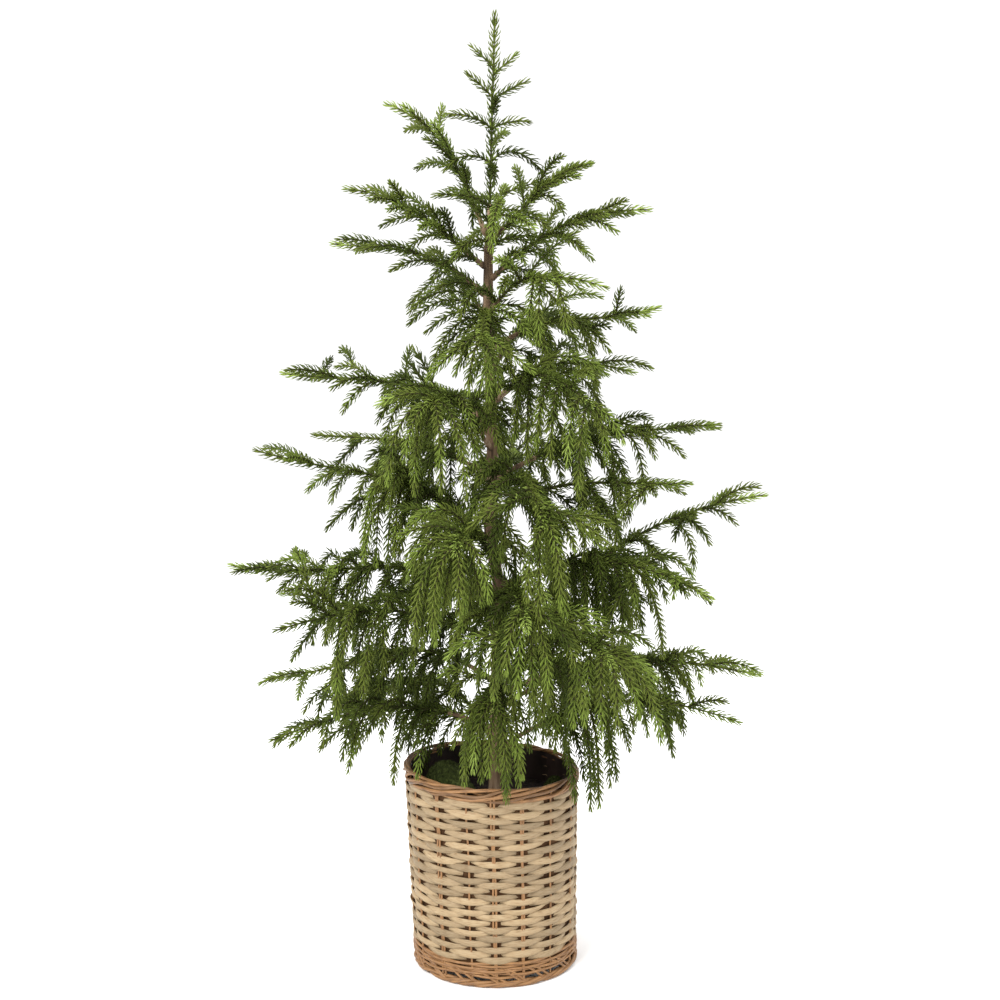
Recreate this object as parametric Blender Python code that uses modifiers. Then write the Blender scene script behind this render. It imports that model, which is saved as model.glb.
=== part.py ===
"""Artificial Norfolk pine, about 1.2 m tall, standing in a round wicker basket.

Metres, +Z up.  The origin is at the centre of the basket's foot, on the floor; -Y is the front.
"""
import math

import bmesh
import bpy
import numpy as np
from mathutils import Matrix, Vector

# ---------------------------------------------------------------- driving dimensions

HEIGHT = 1.220            # floor to the tip of the leader
GAP = 0.0003              # between pieces that touch

BASKET_HEIGHT = 0.262
FOOT_RADIUS = 0.107       # outside of the wall at the foot
MOUTH_RADIUS = 0.1135     # outside of the wall under the rim
WALL = 0.006
WALL_BOTTOM = 0.030       # the open foot border is below this
FLOOR_THICKNESS = 0.004
BASKET_SIDES = 32
BASKET_LEAN = -0.0057     # sideways shift of the mouth
RIM_DROP = 0.0045         # the rim is this much lower at its right edge

RIM_BAND = 0.019          # height of the band of canes round the mouth
RIM_THICKNESS = 0.0100

FOOT_CANE = 0.0052        # radius of the cane ring on the floor
FOOT_HOOPS = 18
HOOP_CANE = 0.0019
HOOP_WIDTH = 0.022

SOIL = 0.216              # top of the dark filling
# azimuth, distance from the axis, half sizes across and along the wall, top height
MOSS = {"moss_left": (218, 0.066, 0.032, 0.050, 0.254), "moss_right": (8, 0.080, 0.017, 0.024, 0.241)}

TRUNK_FOOT = SOIL + GAP
TRUNK_TOP = 0.985
# height, x, y of the bends of the trunk and the leader
TRUNK_BENDS = [
    (0.216, 0.000, 0.000), (0.300, 0.001, -0.002), (0.390, 0.003, 0.002), (0.480, 0.006, 0.003),
    (0.577, -0.007, -0.002), (0.674, -0.004, 0.002), (0.865, -0.009, 0.000), (0.985, -0.0067, 0.001),
    (1.220, 0.000, 0.000),
]
# height, radius
TRUNK_GIRTH = [
    (0.216, 0.0130), (0.226, 0.0104), (0.250, 0.0094), (0.550, 0.0082), (0.880, 0.0068), (0.985, 0.0036),
]
BOUGH_GIRTH = (0.0036, 0.0025)
BOUGH_SWEEP = 0.42        # how far the two ends' directions carry along a bough, as a share of it
WOODEN = 0.045            # least bare wood that makes a limb of its own

NEEDLE = 0.0074           # how far needles stand out from the axis of their twig
TIER = 0.040              # spacing of the tiers of needle points along a twig
STEM_TIER = 0.050
CORE = 0.0034             # radius of a stem or a twig under its needles
ROOT_CORE = 0.0016        # of a twig where it is sunk in its stem
STEM_FOOT = 0.016         # length of a stem's plain foot on the trunk, at least
LEADER_FOOT = 0.012

FORK_SPACING = (0.038, 0.060)   # between pairs of side twigs, high up and low down
FIRST_FORK = 0.014        # past the bare wood
END_LENGTH = 0.072        # of a bough past its last fork
STAGGER = 0.003           # of the two twigs of a fork along their bough
SPLAY = (42, 58)          # degrees between a twig and its bough
ROLL = 85                 # degrees either way round the bough
TWIG_LENGTH = (0.058, 0.026, 0.036)   # at the tip, more near the trunk, more again low down
TWIG_DROOP = (-4, 40)     # turn per metre at the tip, and more near the trunk
LENGTH_SPREAD = (0.85, 1.15)
DROOP_SPREAD = (0.6, 1.2)

SAMPLE = 0.006            # spacing of the points at which clearances are measured
TRIES = 5                 # for a twig that would touch another
SHORT_TRIES = 3           # the tries after these are for a shorter twig
SHORTER = 0.8
TWIG_ROOM = 2 * NEEDLE + 0.0008   # between the axes of the twigs of two masses
TRUNK_ROOM = NEEDLE + 0.0105      # between the axes of a twig and the trunk
OWN_ROOM = 0.0115         # between a twig's outer half and its own bough
ENDS_ROOM = 0.012         # between the outer halves of one bough's twigs
RIM_ROOM = (0.097, 0.1275, 0.277)   # inner and outer radius and top of the ring kept free of twigs
SOIL_ROOM = (0.110, 0.010)          # radius and height of the space kept free over the filling

LEADER_PAIRS = 5
LEADER_FIRST = 1.146      # height of the leader's top pair of twigs
LEADER_SPACING = 0.0365
LEADER_LENGTH = (0.042, 0.040)   # of its top twigs, and more lower down
LEADER_DROOP = 36

# foot height, azimuth, reach, tip height, rise at the foot, rise at the tip, bare length, seed
BOUGHS = {
    "left_1": (0.948, 165, 0.145, 1.110, 66, 19, 0.000, 19),
    "right_1": (0.941, 8, 0.125, 1.035, 39, 11, 0.000, 151),
    "front_1": (0.926, 274, 0.110, 0.980, 34, -11, 0.000, 10),
    "back_1": (0.916, 84, 0.140, 1.010, 40, -2, 0.000, 199),
    "left_2": (0.907, 191, 0.190, 1.000, 36, 4, 0.000, 186),
    "right_2": (0.892, 354, 0.195, 0.975, 44, -1, 0.000, 277),
    "left_3": (0.872, 169, 0.215, 0.935, 45, 6, 0.000, 387),
    "front_2": (0.851, 299, 0.150, 0.885, 34, -17, 0.000, 316),
    "back_2": (0.841, 119, 0.180, 0.915, 37, 8, 0.000, 174),
    "front_3": (0.823, 265, 0.195, 0.815, 43, -12, 0.000, 153),
    "right_3": (0.805, 2, 0.210, 0.855, 34, 17, 0.030, 99),
    "back_3": (0.773, 68, 0.225, 0.845, 38, 3, 0.030, 278),
    "right_4": (0.736, 33, 0.225, 0.765, 38, -14, 0.030, 225),
    "front_4": (0.732, 298, 0.240, 0.745, 38, -22, 0.030, 170),
    "left_4": (0.712, 172, 0.280, 0.770, 35, 8, 0.030, 258),
    "back_4": (0.688, 111, 0.265, 0.740, 28, 2, 0.030, 92),
    "front_5": (0.678, 249, 0.220, 0.745, 32, -17, 0.030, 179),
    "left_5": (0.644, 160, 0.260, 0.685, 26, 2, 0.040, 194),
    "right_5": (0.638, 13, 0.305, 0.700, 29, 3, 0.045, 277),
    "front_6": (0.603, 281, 0.300, 0.615, 31, -31, 0.040, 299),
    "right_6": (0.595, 334, 0.265, 0.645, 32, 5, 0.040, 39),
    "back_6": (0.580, 84, 0.325, 0.630, 35, -11, 0.040, 85),
    "left_6": (0.563, 199, 0.310, 0.685, 48, 19, 0.045, 361),
    "front_7": (0.527, 262, 0.320, 0.590, 23, -18, 0.040, 373),
    "right_8": (0.501, 329, 0.305, 0.510, 23, -24, 0.045, 160),
    "left_7": (0.483, 175, 0.350, 0.520, 31, 11, 0.050, 258),
    "right_7": (0.448, 2, 0.350, 0.615, 34, 8, 0.050, 397),
    "front_8": (0.431, 276, 0.345, 0.510, 40, -21, 0.050, 390),
    "back_7": (0.425, 108, 0.345, 0.455, 36, -5, 0.050, 386),
    "left_8": (0.427, 209, 0.305, 0.470, 28, -11, 0.050, 11),
    "front_9": (0.379, 294, 0.330, 0.460, 24, -23, 0.050, 186),
    "left_9": (0.373, 156, 0.350, 0.340, 31, -8, 0.050, 263),
    "right_9": (0.358, 0, 0.345, 0.380, 25, -11, 0.050, 397),
    "back_8": (0.337, 40, 0.315, 0.350, 19, -12, 0.050, 253),
    "front_10": (0.341, 270, 0.190, 0.380, 33, -36, 0.040, 208),
    "left_10": (0.312, 196, 0.295, 0.315, 27, -18, 0.050, 264),
    "right_10": (0.288, 344, 0.320, 0.340, 34, -17, 0.050, 231),
    "back_9": (0.294, 121, 0.295, 0.310, 35, -12, 0.040, 92),
}
LEADER_SEED = 206

BARK = ("bark", (0.115, 0.062, 0.034), 0.85)
NEEDLES = ("needles", (0.085, 0.170, 0.030), 0.60)
PEELED_CANE = ("peeled_cane", (0.560, 0.420, 0.245), 0.60)
BUFF_CANE = ("buff_cane", (0.480, 0.230, 0.085), 0.55)
LINER = ("liner", (0.022, 0.014, 0.010), 0.80)
MOSS_GREEN = ("moss", (0.070, 0.130, 0.020), 0.95)


# ---------------------------------------------------------------- curves in space

def unit(vector):
    return vector / np.linalg.norm(vector)


def heading(azimuth, rise):
    """Unit vector at an azimuth and a rise above level, both in degrees."""
    a, e = math.radians(azimuth), math.radians(rise)
    return np.array([math.cos(a) * math.cos(e), math.sin(a) * math.cos(e), math.sin(e)])


def smooth_table(rows, height):
    """The values at a height on a smooth curve through rows of (height, value, ...)."""
    table = np.array(rows)
    height = min(max(height, table[0, 0]), table[-1, 0])
    k = min(int(np.searchsorted(table[:, 0], height, side="right")) - 1, len(table) - 2)
    before, after = max(k - 1, 0), min(k + 2, len(table) - 1)
    span = table[k + 1, 0] - table[k, 0]
    u = (height - table[k, 0]) / span
    slope_a = (table[k + 1] - table[before]) / (table[k + 1, 0] - table[before, 0])
    slope_b = (table[after] - table[k]) / (table[after, 0] - table[k, 0])
    value = (2 * u**3 - 3 * u**2 + 1) * table[k] + (3 * u**2 - 2 * u**3) * table[k + 1]
    value = value + (u**3 - 2 * u**2 + u) * span * slope_a + (u**3 - u**2) * span * slope_b
    return value[1:]


def trunk_centre(height):
    x, y = smooth_table(TRUNK_BENDS, height)
    return np.array([x, y, height])


def trunk_radius(height):
    heights, radii = np.array(TRUNK_GIRTH).T
    return float(np.interp(height, heights, radii))


def distances(line):
    """Distance of each point of a line from its start."""
    steps = np.linalg.norm(np.diff(line, axis=0), axis=1)
    return np.concatenate([[0], np.cumsum(steps)])


def point_on(line, distance):
    s = distances(line)
    return np.array([np.interp(distance, s, line[:, k]) for k in range(3)])


def direction_on(line, distance):
    return unit(point_on(line, distance + 0.004) - point_on(line, distance - 0.004))


def cut(line, start, end, step):
    """The stretch of a line from start to end, with a point about every step."""
    count = max(2, int(round((end - start) / step)) + 1)
    return np.array([point_on(line, d) for d in np.linspace(start, end, count)])


def spaced(line):
    return cut(line, 0, distances(line)[-1], SAMPLE)


def nearest(points, others):
    """Least distance from any of the points to any of the others."""
    return float(np.sqrt(((points[:, None] - others[None])**2).sum(2).min()))


def walk(start, direction, length, droop, steps=4):
    """A limb that sets off along a direction and is turned down by its own weight."""
    line = [start]
    step = length / steps
    for _ in range(steps):
        line.append(line[-1] + direction * step)
        direction = unit(direction + np.array([0, 0, -droop * step]))
    return np.array(line)


# ---------------------------------------------------------------- the branching rule

def clear_of_pot(points):
    """True where a twig keeps out of the basket's rim and wall, the filling and the moss."""
    x, y, z = points.T
    r = np.hypot(x, y)
    blocked = (r > RIM_ROOM[0]) & (r < RIM_ROOM[1]) & (z < RIM_ROOM[2])
    blocked |= (r < SOIL_ROOM[0]) & (z < SOIL + SOIL_ROOM[1])
    for azimuth, distance, _, length, top in MOSS.values():
        centre = heading(azimuth, 0) * distance
        over = np.hypot(x - centre[0], y - centre[1]) < length + NEEDLE
        blocked |= over & (z < top + NEEDLE + 0.001)
    return not blocked.any()


def bark_point(height, out):
    """The place just clear of the bark where a bough sets off outwards, however the trunk leans there."""
    centre = trunk_centre(height)
    edges = [trunk_centre(height + step) - centre for step in (-BOUGH_GIRTH[0], BOUGH_GIRTH[0])]
    lean = max(float(np.dot(edge, out)) for edge in edges)
    return centre + out * (trunk_radius(height) + GAP + lean)


def bough_line(row, count=25):
    """The curve of a bough from the trunk's bark to the bough's furthest tip."""
    foot, azimuth, reach, tip, rise, level, _, _ = row
    out = heading(azimuth, 0)
    start = bark_point(foot, out)
    end = out * reach + np.array([0, 0, tip])
    arm = np.linalg.norm(end - start) * BOUGH_SWEEP
    a = start + heading(azimuth, rise) * arm
    b = end - heading(azimuth, level) * arm
    t = np.linspace(0, 1, count)[:, None]
    return (1 - t)**3 * start + 3 * (1 - t)**2 * t * a + 3 * (1 - t) * t**2 * b + t**3 * end


def fork_places(row, line):
    """Distances along a bough of its forks, the outermost first."""
    foot, bare = row[0], row[6]
    total = distances(line)[-1]
    spacing = FORK_SPACING[0] + (FORK_SPACING[1] - FORK_SPACING[0]) * min(1, max(0, (0.90 - foot) / 0.25))
    first = bare + FIRST_FORK
    last = total - END_LENGTH * (0.75 if total < 0.2 else 1.0)
    forks = max(1, int(round((last - first) / spacing)))
    return [last - (last - first) * k / forks for k in range(forks + 1)]


def side_twig(row, line, at, side, shrink, rng):
    """One twig at a fork: short and stiff near the bough's tip, long and hanging near the trunk."""
    total = distances(line)[-1]
    inner = 1 - (at - row[6] - FIRST_FORK) / (total - row[6] - FIRST_FORK)
    low = min(1, max(0, (0.98 - row[0]) / 0.45))
    ahead = direction_on(line, at)
    lateral = unit(np.cross(ahead, [0, 0, 1]))
    roll = math.radians(rng.uniform(-ROLL, ROLL)) * (0.3 + 0.7 * at / total)
    angle = math.radians(rng.uniform(*SPLAY))
    across = side * (math.cos(roll) * lateral + math.sin(roll) * np.cross(lateral, ahead))
    outermost, more, lower = TWIG_LENGTH
    length = (outermost + (more + lower * low) * inner**0.6) * rng.uniform(*LENGTH_SPREAD) * shrink
    stiff, limp = TWIG_DROOP
    droop = (stiff + limp * inner**0.8 * (0.4 + 0.6 * low)) * rng.uniform(*DROOP_SPREAD)
    direction = math.cos(angle) * ahead + math.sin(angle) * across
    return walk(point_on(line, at + side * STAGGER), direction, length, droop)


def fits(twig, own, ends, others):
    """True where a twig keeps clear of all other limbs, and its outer half of its own mass."""
    points = spaced(twig)[1:]
    outer = points[len(points) // 2:]
    if not clear_of_pot(points) or nearest(points, TRUNK_LINE) < TRUNK_ROOM:
        return False
    if nearest(points, others) < TWIG_ROOM or nearest(outer, own) <= OWN_ROOM:
        return False
    return not ends or nearest(outer, np.concatenate(ends)) > ENDS_ROOM


def grow_bough(row, others):
    """A bough's line and its side twigs, by its own seed."""
    rng = np.random.default_rng(row[7])
    line = bough_line(row)
    own = spaced(line)
    twigs, ends = [], []
    for at in fork_places(row, line):
        for side in (-1, 1):
            for attempt in range(TRIES):
                shrink = SHORTER if attempt >= SHORT_TRIES else 1.0
                twig = side_twig(row, line, at, side, shrink, rng)
                if fits(twig, own, ends, others):
                    points = spaced(twig)[1:]
                    ends.append(points[len(points) // 2:])
                    twigs.append(twig)
                    break
    return line, twigs


def leader_line():
    heights = np.linspace(TRUNK_TOP + GAP, HEIGHT - 0.003, 12)
    return np.array([trunk_centre(z) for z in heights])


def leader_twig(pair, side, rng):
    """A twig of the leader: short and rising near its top, arching over lower down."""
    low = pair / (LEADER_PAIRS - 1)
    across = side in (90, 270)
    at = LEADER_FIRST - LEADER_SPACING * pair + rng.uniform(-0.006, 0.006) - 0.5 * LEADER_SPACING * across
    direction = heading(side + rng.uniform(-40, 40), rng.uniform(15, 42))
    length = (LEADER_LENGTH[0] + LEADER_LENGTH[1] * low**0.7) * rng.uniform(0.85, 1.2)
    return walk(trunk_centre(at), direction, length, LEADER_DROOP * low**1.5 * rng.uniform(*DROOP_SPREAD))


def grow_leader(others):
    rng = np.random.default_rng(LEADER_SEED)
    line = leader_line()
    own = spaced(line)
    twigs, ends = [], []
    for pair in range(LEADER_PAIRS):
        sides = (180, 0) if pair == 0 else (180, 0, 270 if pair % 2 else 90)
        for side in sides:
            for _ in range(TRIES):
                twig = leader_twig(pair, side, rng)
                if fits(twig, own, ends, others):
                    points = spaced(twig)[1:]
                    ends.append(points[len(points) // 2:])
                    twigs.append(twig)
                    break
    return line, twigs


def grow_all():
    """Every mass's line and twigs; each keeps clear of all lines and of the twigs grown before it."""
    lines = {name: spaced(bough_line(row)) for name, row in BOUGHS.items()}
    lines["leader"] = spaced(leader_line())
    grown, taken = {}, []
    for name in ["leader", *BOUGHS]:
        others = np.concatenate([line for key, line in lines.items() if key != name] + taken)
        grown[name] = grow_leader(others) if name == "leader" else grow_bough(BOUGHS[name], others)
        taken += [spaced(twig)[1:] for twig in grown[name][1]]
    return grown


# ---------------------------------------------------------------- meshes and objects

def remove_objects():
    for obj in list(bpy.data.objects):
        bpy.data.objects.remove(obj, do_unlink=True)


def collection(name):
    made = bpy.data.collections.new(name)
    bpy.context.scene.collection.children.link(made)
    return made


def finish(spec):
    """The Principled material of a (name, colour, roughness) row."""
    name, colour, roughness = spec
    if name in bpy.data.materials:
        return bpy.data.materials[name]
    made = bpy.data.materials.new(name)
    made.use_nodes = True
    shader = made.node_tree.nodes["Principled BSDF"]
    shader.inputs["Base Color"].default_value = (*colour, 1)
    shader.inputs["Roughness"].default_value = roughness
    shader.inputs["Metallic"].default_value = 0
    made.diffuse_color = (*colour, 1)
    return made


def add_part(name, mesh, spec, smooth=False):
    """A named sub-part, in the plant's collection."""
    obj = bpy.data.objects.new(name, mesh)
    mesh.materials.clear()
    mesh.materials.append(finish(spec))
    if smooth:
        mesh.shade_smooth()
        mesh.set_sharp_from_angle(angle=math.radians(40))
    PLANT.objects.link(obj)
    return obj


def baked(obj):
    """The mesh that an object's curve or modifiers make; the object itself is removed."""
    bpy.context.view_layer.update()
    graph = bpy.context.evaluated_depsgraph_get()
    mesh = bpy.data.meshes.new_from_object(obj.evaluated_get(graph))
    mesh.transform(obj.matrix_world)
    bpy.data.objects.remove(obj, do_unlink=True)
    return mesh


def edited(mesh, edit):
    """Runs edit on a mesh as a bmesh, and turns its faces outwards."""
    work = bmesh.new()
    work.from_mesh(mesh)
    edit(work)
    bmesh.ops.recalc_face_normals(work, faces=work.faces)
    work.to_mesh(mesh)
    work.free()
    return mesh


def weld(work):
    bmesh.ops.remove_doubles(work, verts=work.verts, dist=1e-6)


def turned(name, profile, closed=False, sides=BASKET_SIDES):
    """A profile of (radius, height) points, turned about the vertical axis."""
    mesh = bpy.data.meshes.new(name)
    edges = [(k, k + 1) for k in range(len(profile) - 1)]
    if closed:
        edges.append((len(profile) - 1, 0))
    mesh.from_pydata([(r, 0, z) for r, z in profile], edges, [])
    obj = bpy.data.objects.new(name, mesh)
    WORK.objects.link(obj)
    screw = obj.modifiers.new("turn", "SCREW")
    screw.steps = screw.render_steps = sides
    screw.use_merge_vertices = True
    screw.merge_threshold = 0.0001
    return baked(obj)


def round_limb(name, line, radii, resolution):
    """A tapering round limb along a line of points, as a closed mesh."""
    curve = bpy.data.curves.new(name, "CURVE")
    curve.dimensions = "3D"
    curve.bevel_depth = 1.0
    curve.bevel_resolution = resolution
    curve.use_fill_caps = True
    spline = curve.splines.new("POLY")
    spline.points.add(len(line) - 1)
    for point, place, radius in zip(spline.points, line, radii):
        point.co = (*place, 1)
        point.radius = radius
    obj = bpy.data.objects.new(name, curve)
    WORK.objects.link(obj)
    return edited(baked(obj), weld)


def joined(mesh, others):
    """One closed mesh from a mesh and the others that overlap it, by a Boolean union."""
    for solver in ("EXACT", "MANIFOLD"):
        result = edited(union(mesh.copy(), [other.copy() for other in others], solver), keep_main_body)
        if is_closed(result):
            return result
    raise RuntimeError("the pieces of %s do not join into one closed body" % mesh.name)


def union(mesh, others, solver):
    base = bpy.data.objects.new("base", mesh)
    WORK.objects.link(base)
    tools = collection("to_join")
    for other in others:
        tools.objects.link(bpy.data.objects.new("piece", other))
    join = base.modifiers.new("join", "BOOLEAN")
    join.operation = "UNION"
    join.operand_type = "COLLECTION"
    join.collection = tools
    join.solver = solver
    result = baked(base)
    for piece in list(tools.objects):
        bpy.data.objects.remove(piece, do_unlink=True)
    bpy.data.collections.remove(tools)
    return result


def is_closed(mesh):
    work = bmesh.new()
    work.from_mesh(mesh)
    closed = all(edge.is_manifold for edge in work.edges)
    work.free()
    return closed


def keep_main_body(work):
    """Drops loose scraps and the skins of sealed hollows: all but the largest connected shell."""
    bmesh.ops.dissolve_limit(work, angle_limit=math.radians(0.5), verts=work.verts, edges=work.edges)
    bmesh.ops.triangulate(work, faces=work.faces)
    left, shells = set(work.verts), []
    while left:
        shell, front = set(), [left.pop()]
        while front:
            vert = front.pop()
            shell.add(vert)
            linked = {edge.other_vert(vert) for edge in vert.link_edges} & left
            left -= linked
            front += linked
        shells.append(shell)
    shells.sort(key=len)
    for shell in shells[:-1]:
        bmesh.ops.delete(work, geom=list(shell), context="VERTS")


# ---------------------------------------------------------------- twigs and foliage

def ring(centre, along, up, radius, turn):
    """Three points round a centre, square to a direction."""
    side = unit(np.cross(along, up))
    up = np.cross(side, along)
    angles = [turn + k * math.tau / 3 for k in range(3)]
    return [centre + radius * (math.cos(a) * side + math.sin(a) * up) for a in angles]


def needle_rings(total, root, tier, clear):
    """(distance, radius, turn) of a limb's rings: its core, with tiers of needle points on it."""
    tiers = max(2, int(round((total - clear) / tier)))
    pitch = (total - clear) / tiers
    rings = [(0.0, root, 0.0)]
    if clear > 0:
        rings.append((clear, CORE, 0.0))
    for k in range(tiers):
        start, turn = clear + k * pitch, k * math.pi / 3
        rings.append((start + 0.70 * pitch, NEEDLE * (1 - 0.25 * (k == tiers - 1)), turn))
        if k < tiers - 1:
            rings.append((start + 0.84 * pitch, CORE * (1 - 0.5 * (k + 1) / tiers), turn))
    return rings


def toothed(name, line, root, tier, clear=0.0, foot_normal=None):
    """A slim three-sided core along a line with needle points standing out of it, drawn to a point."""
    total = distances(line)[-1]
    along = direction_on(line, 0.002)
    up = unit(np.cross(along, np.cross([0.3, 0.5, 0.8], along)))
    mesh = bpy.data.meshes.new(name)

    def build(work):
        upward, previous = up, None
        for distance, radius, turn in needle_rings(total, root, tier, clear):
            ahead = direction_on(line, min(max(distance, 0.002), total - 0.002))
            if previous is None and foot_normal is not None:
                ahead = foot_normal
            upward = unit(upward - ahead * np.dot(upward, ahead))
            verts = [work.verts.new(p) for p in ring(point_on(line, distance), ahead, upward, radius, turn)]
            if previous is None:
                work.faces.new(verts)
            else:
                for k in range(3):
                    skin(work, previous[k - 1], previous[k], verts[k - 1], verts[k])
            previous = verts
        tip = work.verts.new(line[-1])
        for k in range(3):
            work.faces.new((previous[k - 1], previous[k], tip))

    return edited(mesh, build)


def skin(work, a, b, c, d):
    """Two triangles between the edge a-b and the next ring's edge c-d, split along the shorter diagonal."""
    if (a.co - d.co).length < (b.co - c.co).length:
        work.faces.new((a, b, d))
        work.faces.new((a, d, c))
    else:
        work.faces.new((a, b, c))
        work.faces.new((b, d, c))


def make_mass(name, line, twigs, bare, clear, foot_normal):
    """One mass of foliage: a stem that starts past the bare wood, with its twigs fused on."""
    total = distances(line)[-1]
    stem = cut(line, bare + (GAP if bare else 0), total, 0.012)
    meshes = [toothed("twig", twig, ROOT_CORE, TIER) for twig in twigs]
    mesh = toothed("stem", stem, CORE, STEM_TIER, clear, foot_normal)
    add_part("foliage_" + name, joined(mesh, meshes), NEEDLES)


def make_bough(name, line, bare):
    """The bare wood of a bough, from the trunk to where its needles begin."""
    wood = cut(line, 0, bare, 0.015)
    wood[1] = wood[0] + heading(BOUGHS[name][1], 0) * 0.004
    radii = np.linspace(*BOUGH_GIRTH, len(wood))
    add_part("bough_" + name, round_limb(name, wood, radii, 1), BARK, smooth=True)


def make_crown():
    grown = grow_all()
    make_mass("leader", *grown.pop("leader"), 0, LEADER_FOOT, np.array([0, 0, 1.0]))
    for name, (line, twigs) in grown.items():
        bare = BOUGHS[name][6]
        if bare >= WOODEN:
            make_bough(name, line, bare)
            make_mass(name, line, twigs, bare, 0.0, None)
        else:
            make_mass(name, line, twigs, 0, max(bare, STEM_FOOT), heading(BOUGHS[name][1], 0))


# ---------------------------------------------------------------- trunk, basket and filling

def make_trunk():
    """The whole trunk, from the flat cut on the filling to where the leader grows out of it."""
    flare = [row[0] for row in TRUNK_GIRTH if row[0] < 0.30]
    heights = np.array([*flare, *np.arange(0.28, TRUNK_TOP - 0.01, 0.024), TRUNK_TOP])
    heights[0] = TRUNK_FOOT
    line = [trunk_centre(z) for z in heights]
    mesh = round_limb("trunk", line, [trunk_radius(z) for z in heights], 3)
    for vert in mesh.vertices:
        if vert.co.z < TRUNK_FOOT + 0.002:
            vert.co.z = TRUNK_FOOT
        if vert.co.z > TRUNK_TOP - 0.002:
            vert.co.z = TRUNK_TOP
    add_part("trunk", mesh, BARK, smooth=True)


def leaned(mesh):
    """The basket's own lean: its mouth is shifted, and its right edge a little lower."""
    for vert in mesh.vertices:
        share = vert.co.z / BASKET_HEIGHT
        vert.co.x += BASKET_LEAN * share
        vert.co.z -= RIM_DROP * vert.co.x / MOUTH_RADIUS * share**2
    return mesh


def wall_radius(height):
    """Outside radius of the wall at a height."""
    return FOOT_RADIUS + (MOUTH_RADIUS - FOOT_RADIUS) * height / BASKET_HEIGHT


def make_wall():
    """The woven wall and the floor, as one cup."""
    top = BASKET_HEIGHT - RIM_BAND - GAP
    floor = WALL_BOTTOM + FLOOR_THICKNESS
    outside = [(wall_radius(z), z) for z in np.linspace(top, WALL_BOTTOM, 3)]
    inside = [(0, floor), (wall_radius(floor) - WALL, floor), (wall_radius(top) - WALL, top)]
    mesh = turned("basket_wall", inside + outside + [(0, WALL_BOTTOM)])
    add_part("basket_wall", leaned(mesh), PEELED_CANE, smooth=True)


def make_rim():
    """The band of twisted canes round the mouth, as one ring."""
    centre = BASKET_HEIGHT - RIM_BAND / 2
    middle = wall_radius(centre) - WALL / 2
    angles = [math.tau * (k + 0.5) / 8 for k in range(8)]
    profile = [
        (middle + RIM_THICKNESS / 2 * math.cos(a), centre - RIM_BAND / 2 * math.sin(a)) for a in angles
    ]
    mesh = turned("basket_rim", profile, closed=True, sides=40)
    add_part("basket_rim", leaned(mesh), BUFF_CANE, smooth=True)


def make_foot():
    """The open border under the wall: a cane ring on the floor, with hoops standing on it."""
    middle = FOOT_RADIUS - FOOT_CANE
    flat = FOOT_CANE * math.cos(math.pi / 6)
    angles = [math.tau * k / 6 for k in range(6)]
    profile = [(middle + FOOT_CANE * math.cos(a), flat - FOOT_CANE * math.sin(a)) for a in angles]
    band = turned("foot_ring", profile, closed=True)
    hoops = [foot_hoop(math.tau * k / FOOT_HOOPS, middle, flat) for k in range(FOOT_HOOPS)]
    add_part("basket_foot", joined(band, hoops), BUFF_CANE)


def foot_hoop(angle, radius, foot):
    """One arch of thin cane, its ends sunk in the ring and its top under the wall."""
    top = WALL_BOTTOM - GAP - HOOP_CANE
    line = []
    for t in np.linspace(0, 1, 5):
        a = angle + (t - 0.5) * HOOP_WIDTH / radius
        z = foot + (top - foot) * math.sin(math.pi * t)**0.7
        line.append((radius * math.cos(a), radius * math.sin(a), z))
    return round_limb("hoop", line, [HOOP_CANE] * len(line), 0)


def make_filling():
    """The dark filling that holds the trunk upright, level on top."""
    bottom = WALL_BOTTOM + FLOOR_THICKNESS + 0.001
    inner = [(wall_radius(z) - WALL - 2 * GAP, z) for z in (SOIL, bottom)]
    mesh = turned("filling", [(0, SOIL), *inner, (0, bottom)])
    for vert in mesh.vertices:
        vert.co.x += BASKET_LEAN * vert.co.z / BASKET_HEIGHT
    add_part("filling", mesh, LINER, smooth=True)


def make_moss(name):
    """A mound of moss lying on the filling along the wall."""
    azimuth, distance, across, along, top = MOSS[name]
    work = bmesh.new()
    bmesh.ops.create_icosphere(work, subdivisions=2, radius=1.0)
    floor = SOIL + GAP
    size = Matrix.Diagonal((across, along, top - floor, 1))
    turn = Matrix.Rotation(math.radians(azimuth), 4, "Z")
    place = Matrix.Translation(Vector((*heading(azimuth, 0)[:2] * distance, floor)))
    bmesh.ops.bisect_plane(
        work, geom=[*work.verts, *work.edges, *work.faces], plane_co=(0, 0, 0), plane_no=(0, 0, 1),
        clear_inner=True, dist=1e-5,
    )
    bmesh.ops.holes_fill(work, edges=work.edges, sides=0)
    work.transform(place @ turn @ size)
    mesh = bpy.data.meshes.new(name)
    work.to_mesh(mesh)
    work.free()
    add_part(name, mesh, MOSS_GREEN, smooth=True)


# ---------------------------------------------------------------- the plant

remove_objects()
PLANT = collection("potted_norfolk_pine")
WORK = collection("work")
TRUNK_LINE = np.array([trunk_centre(z) for z in np.arange(SOIL, TRUNK_TOP + 0.012, 0.005)])

make_foot()
make_wall()
make_rim()
make_filling()
for moss_name in MOSS:
    make_moss(moss_name)
make_trunk()
make_crown()
bpy.data.collections.remove(WORK)
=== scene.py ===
from math import asin, ceil, cos, pi, radians, sin, tau

import bmesh
import bpy
import numpy as np
from mathutils import Matrix, Vector, noise
from numpy.random import default_rng


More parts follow.
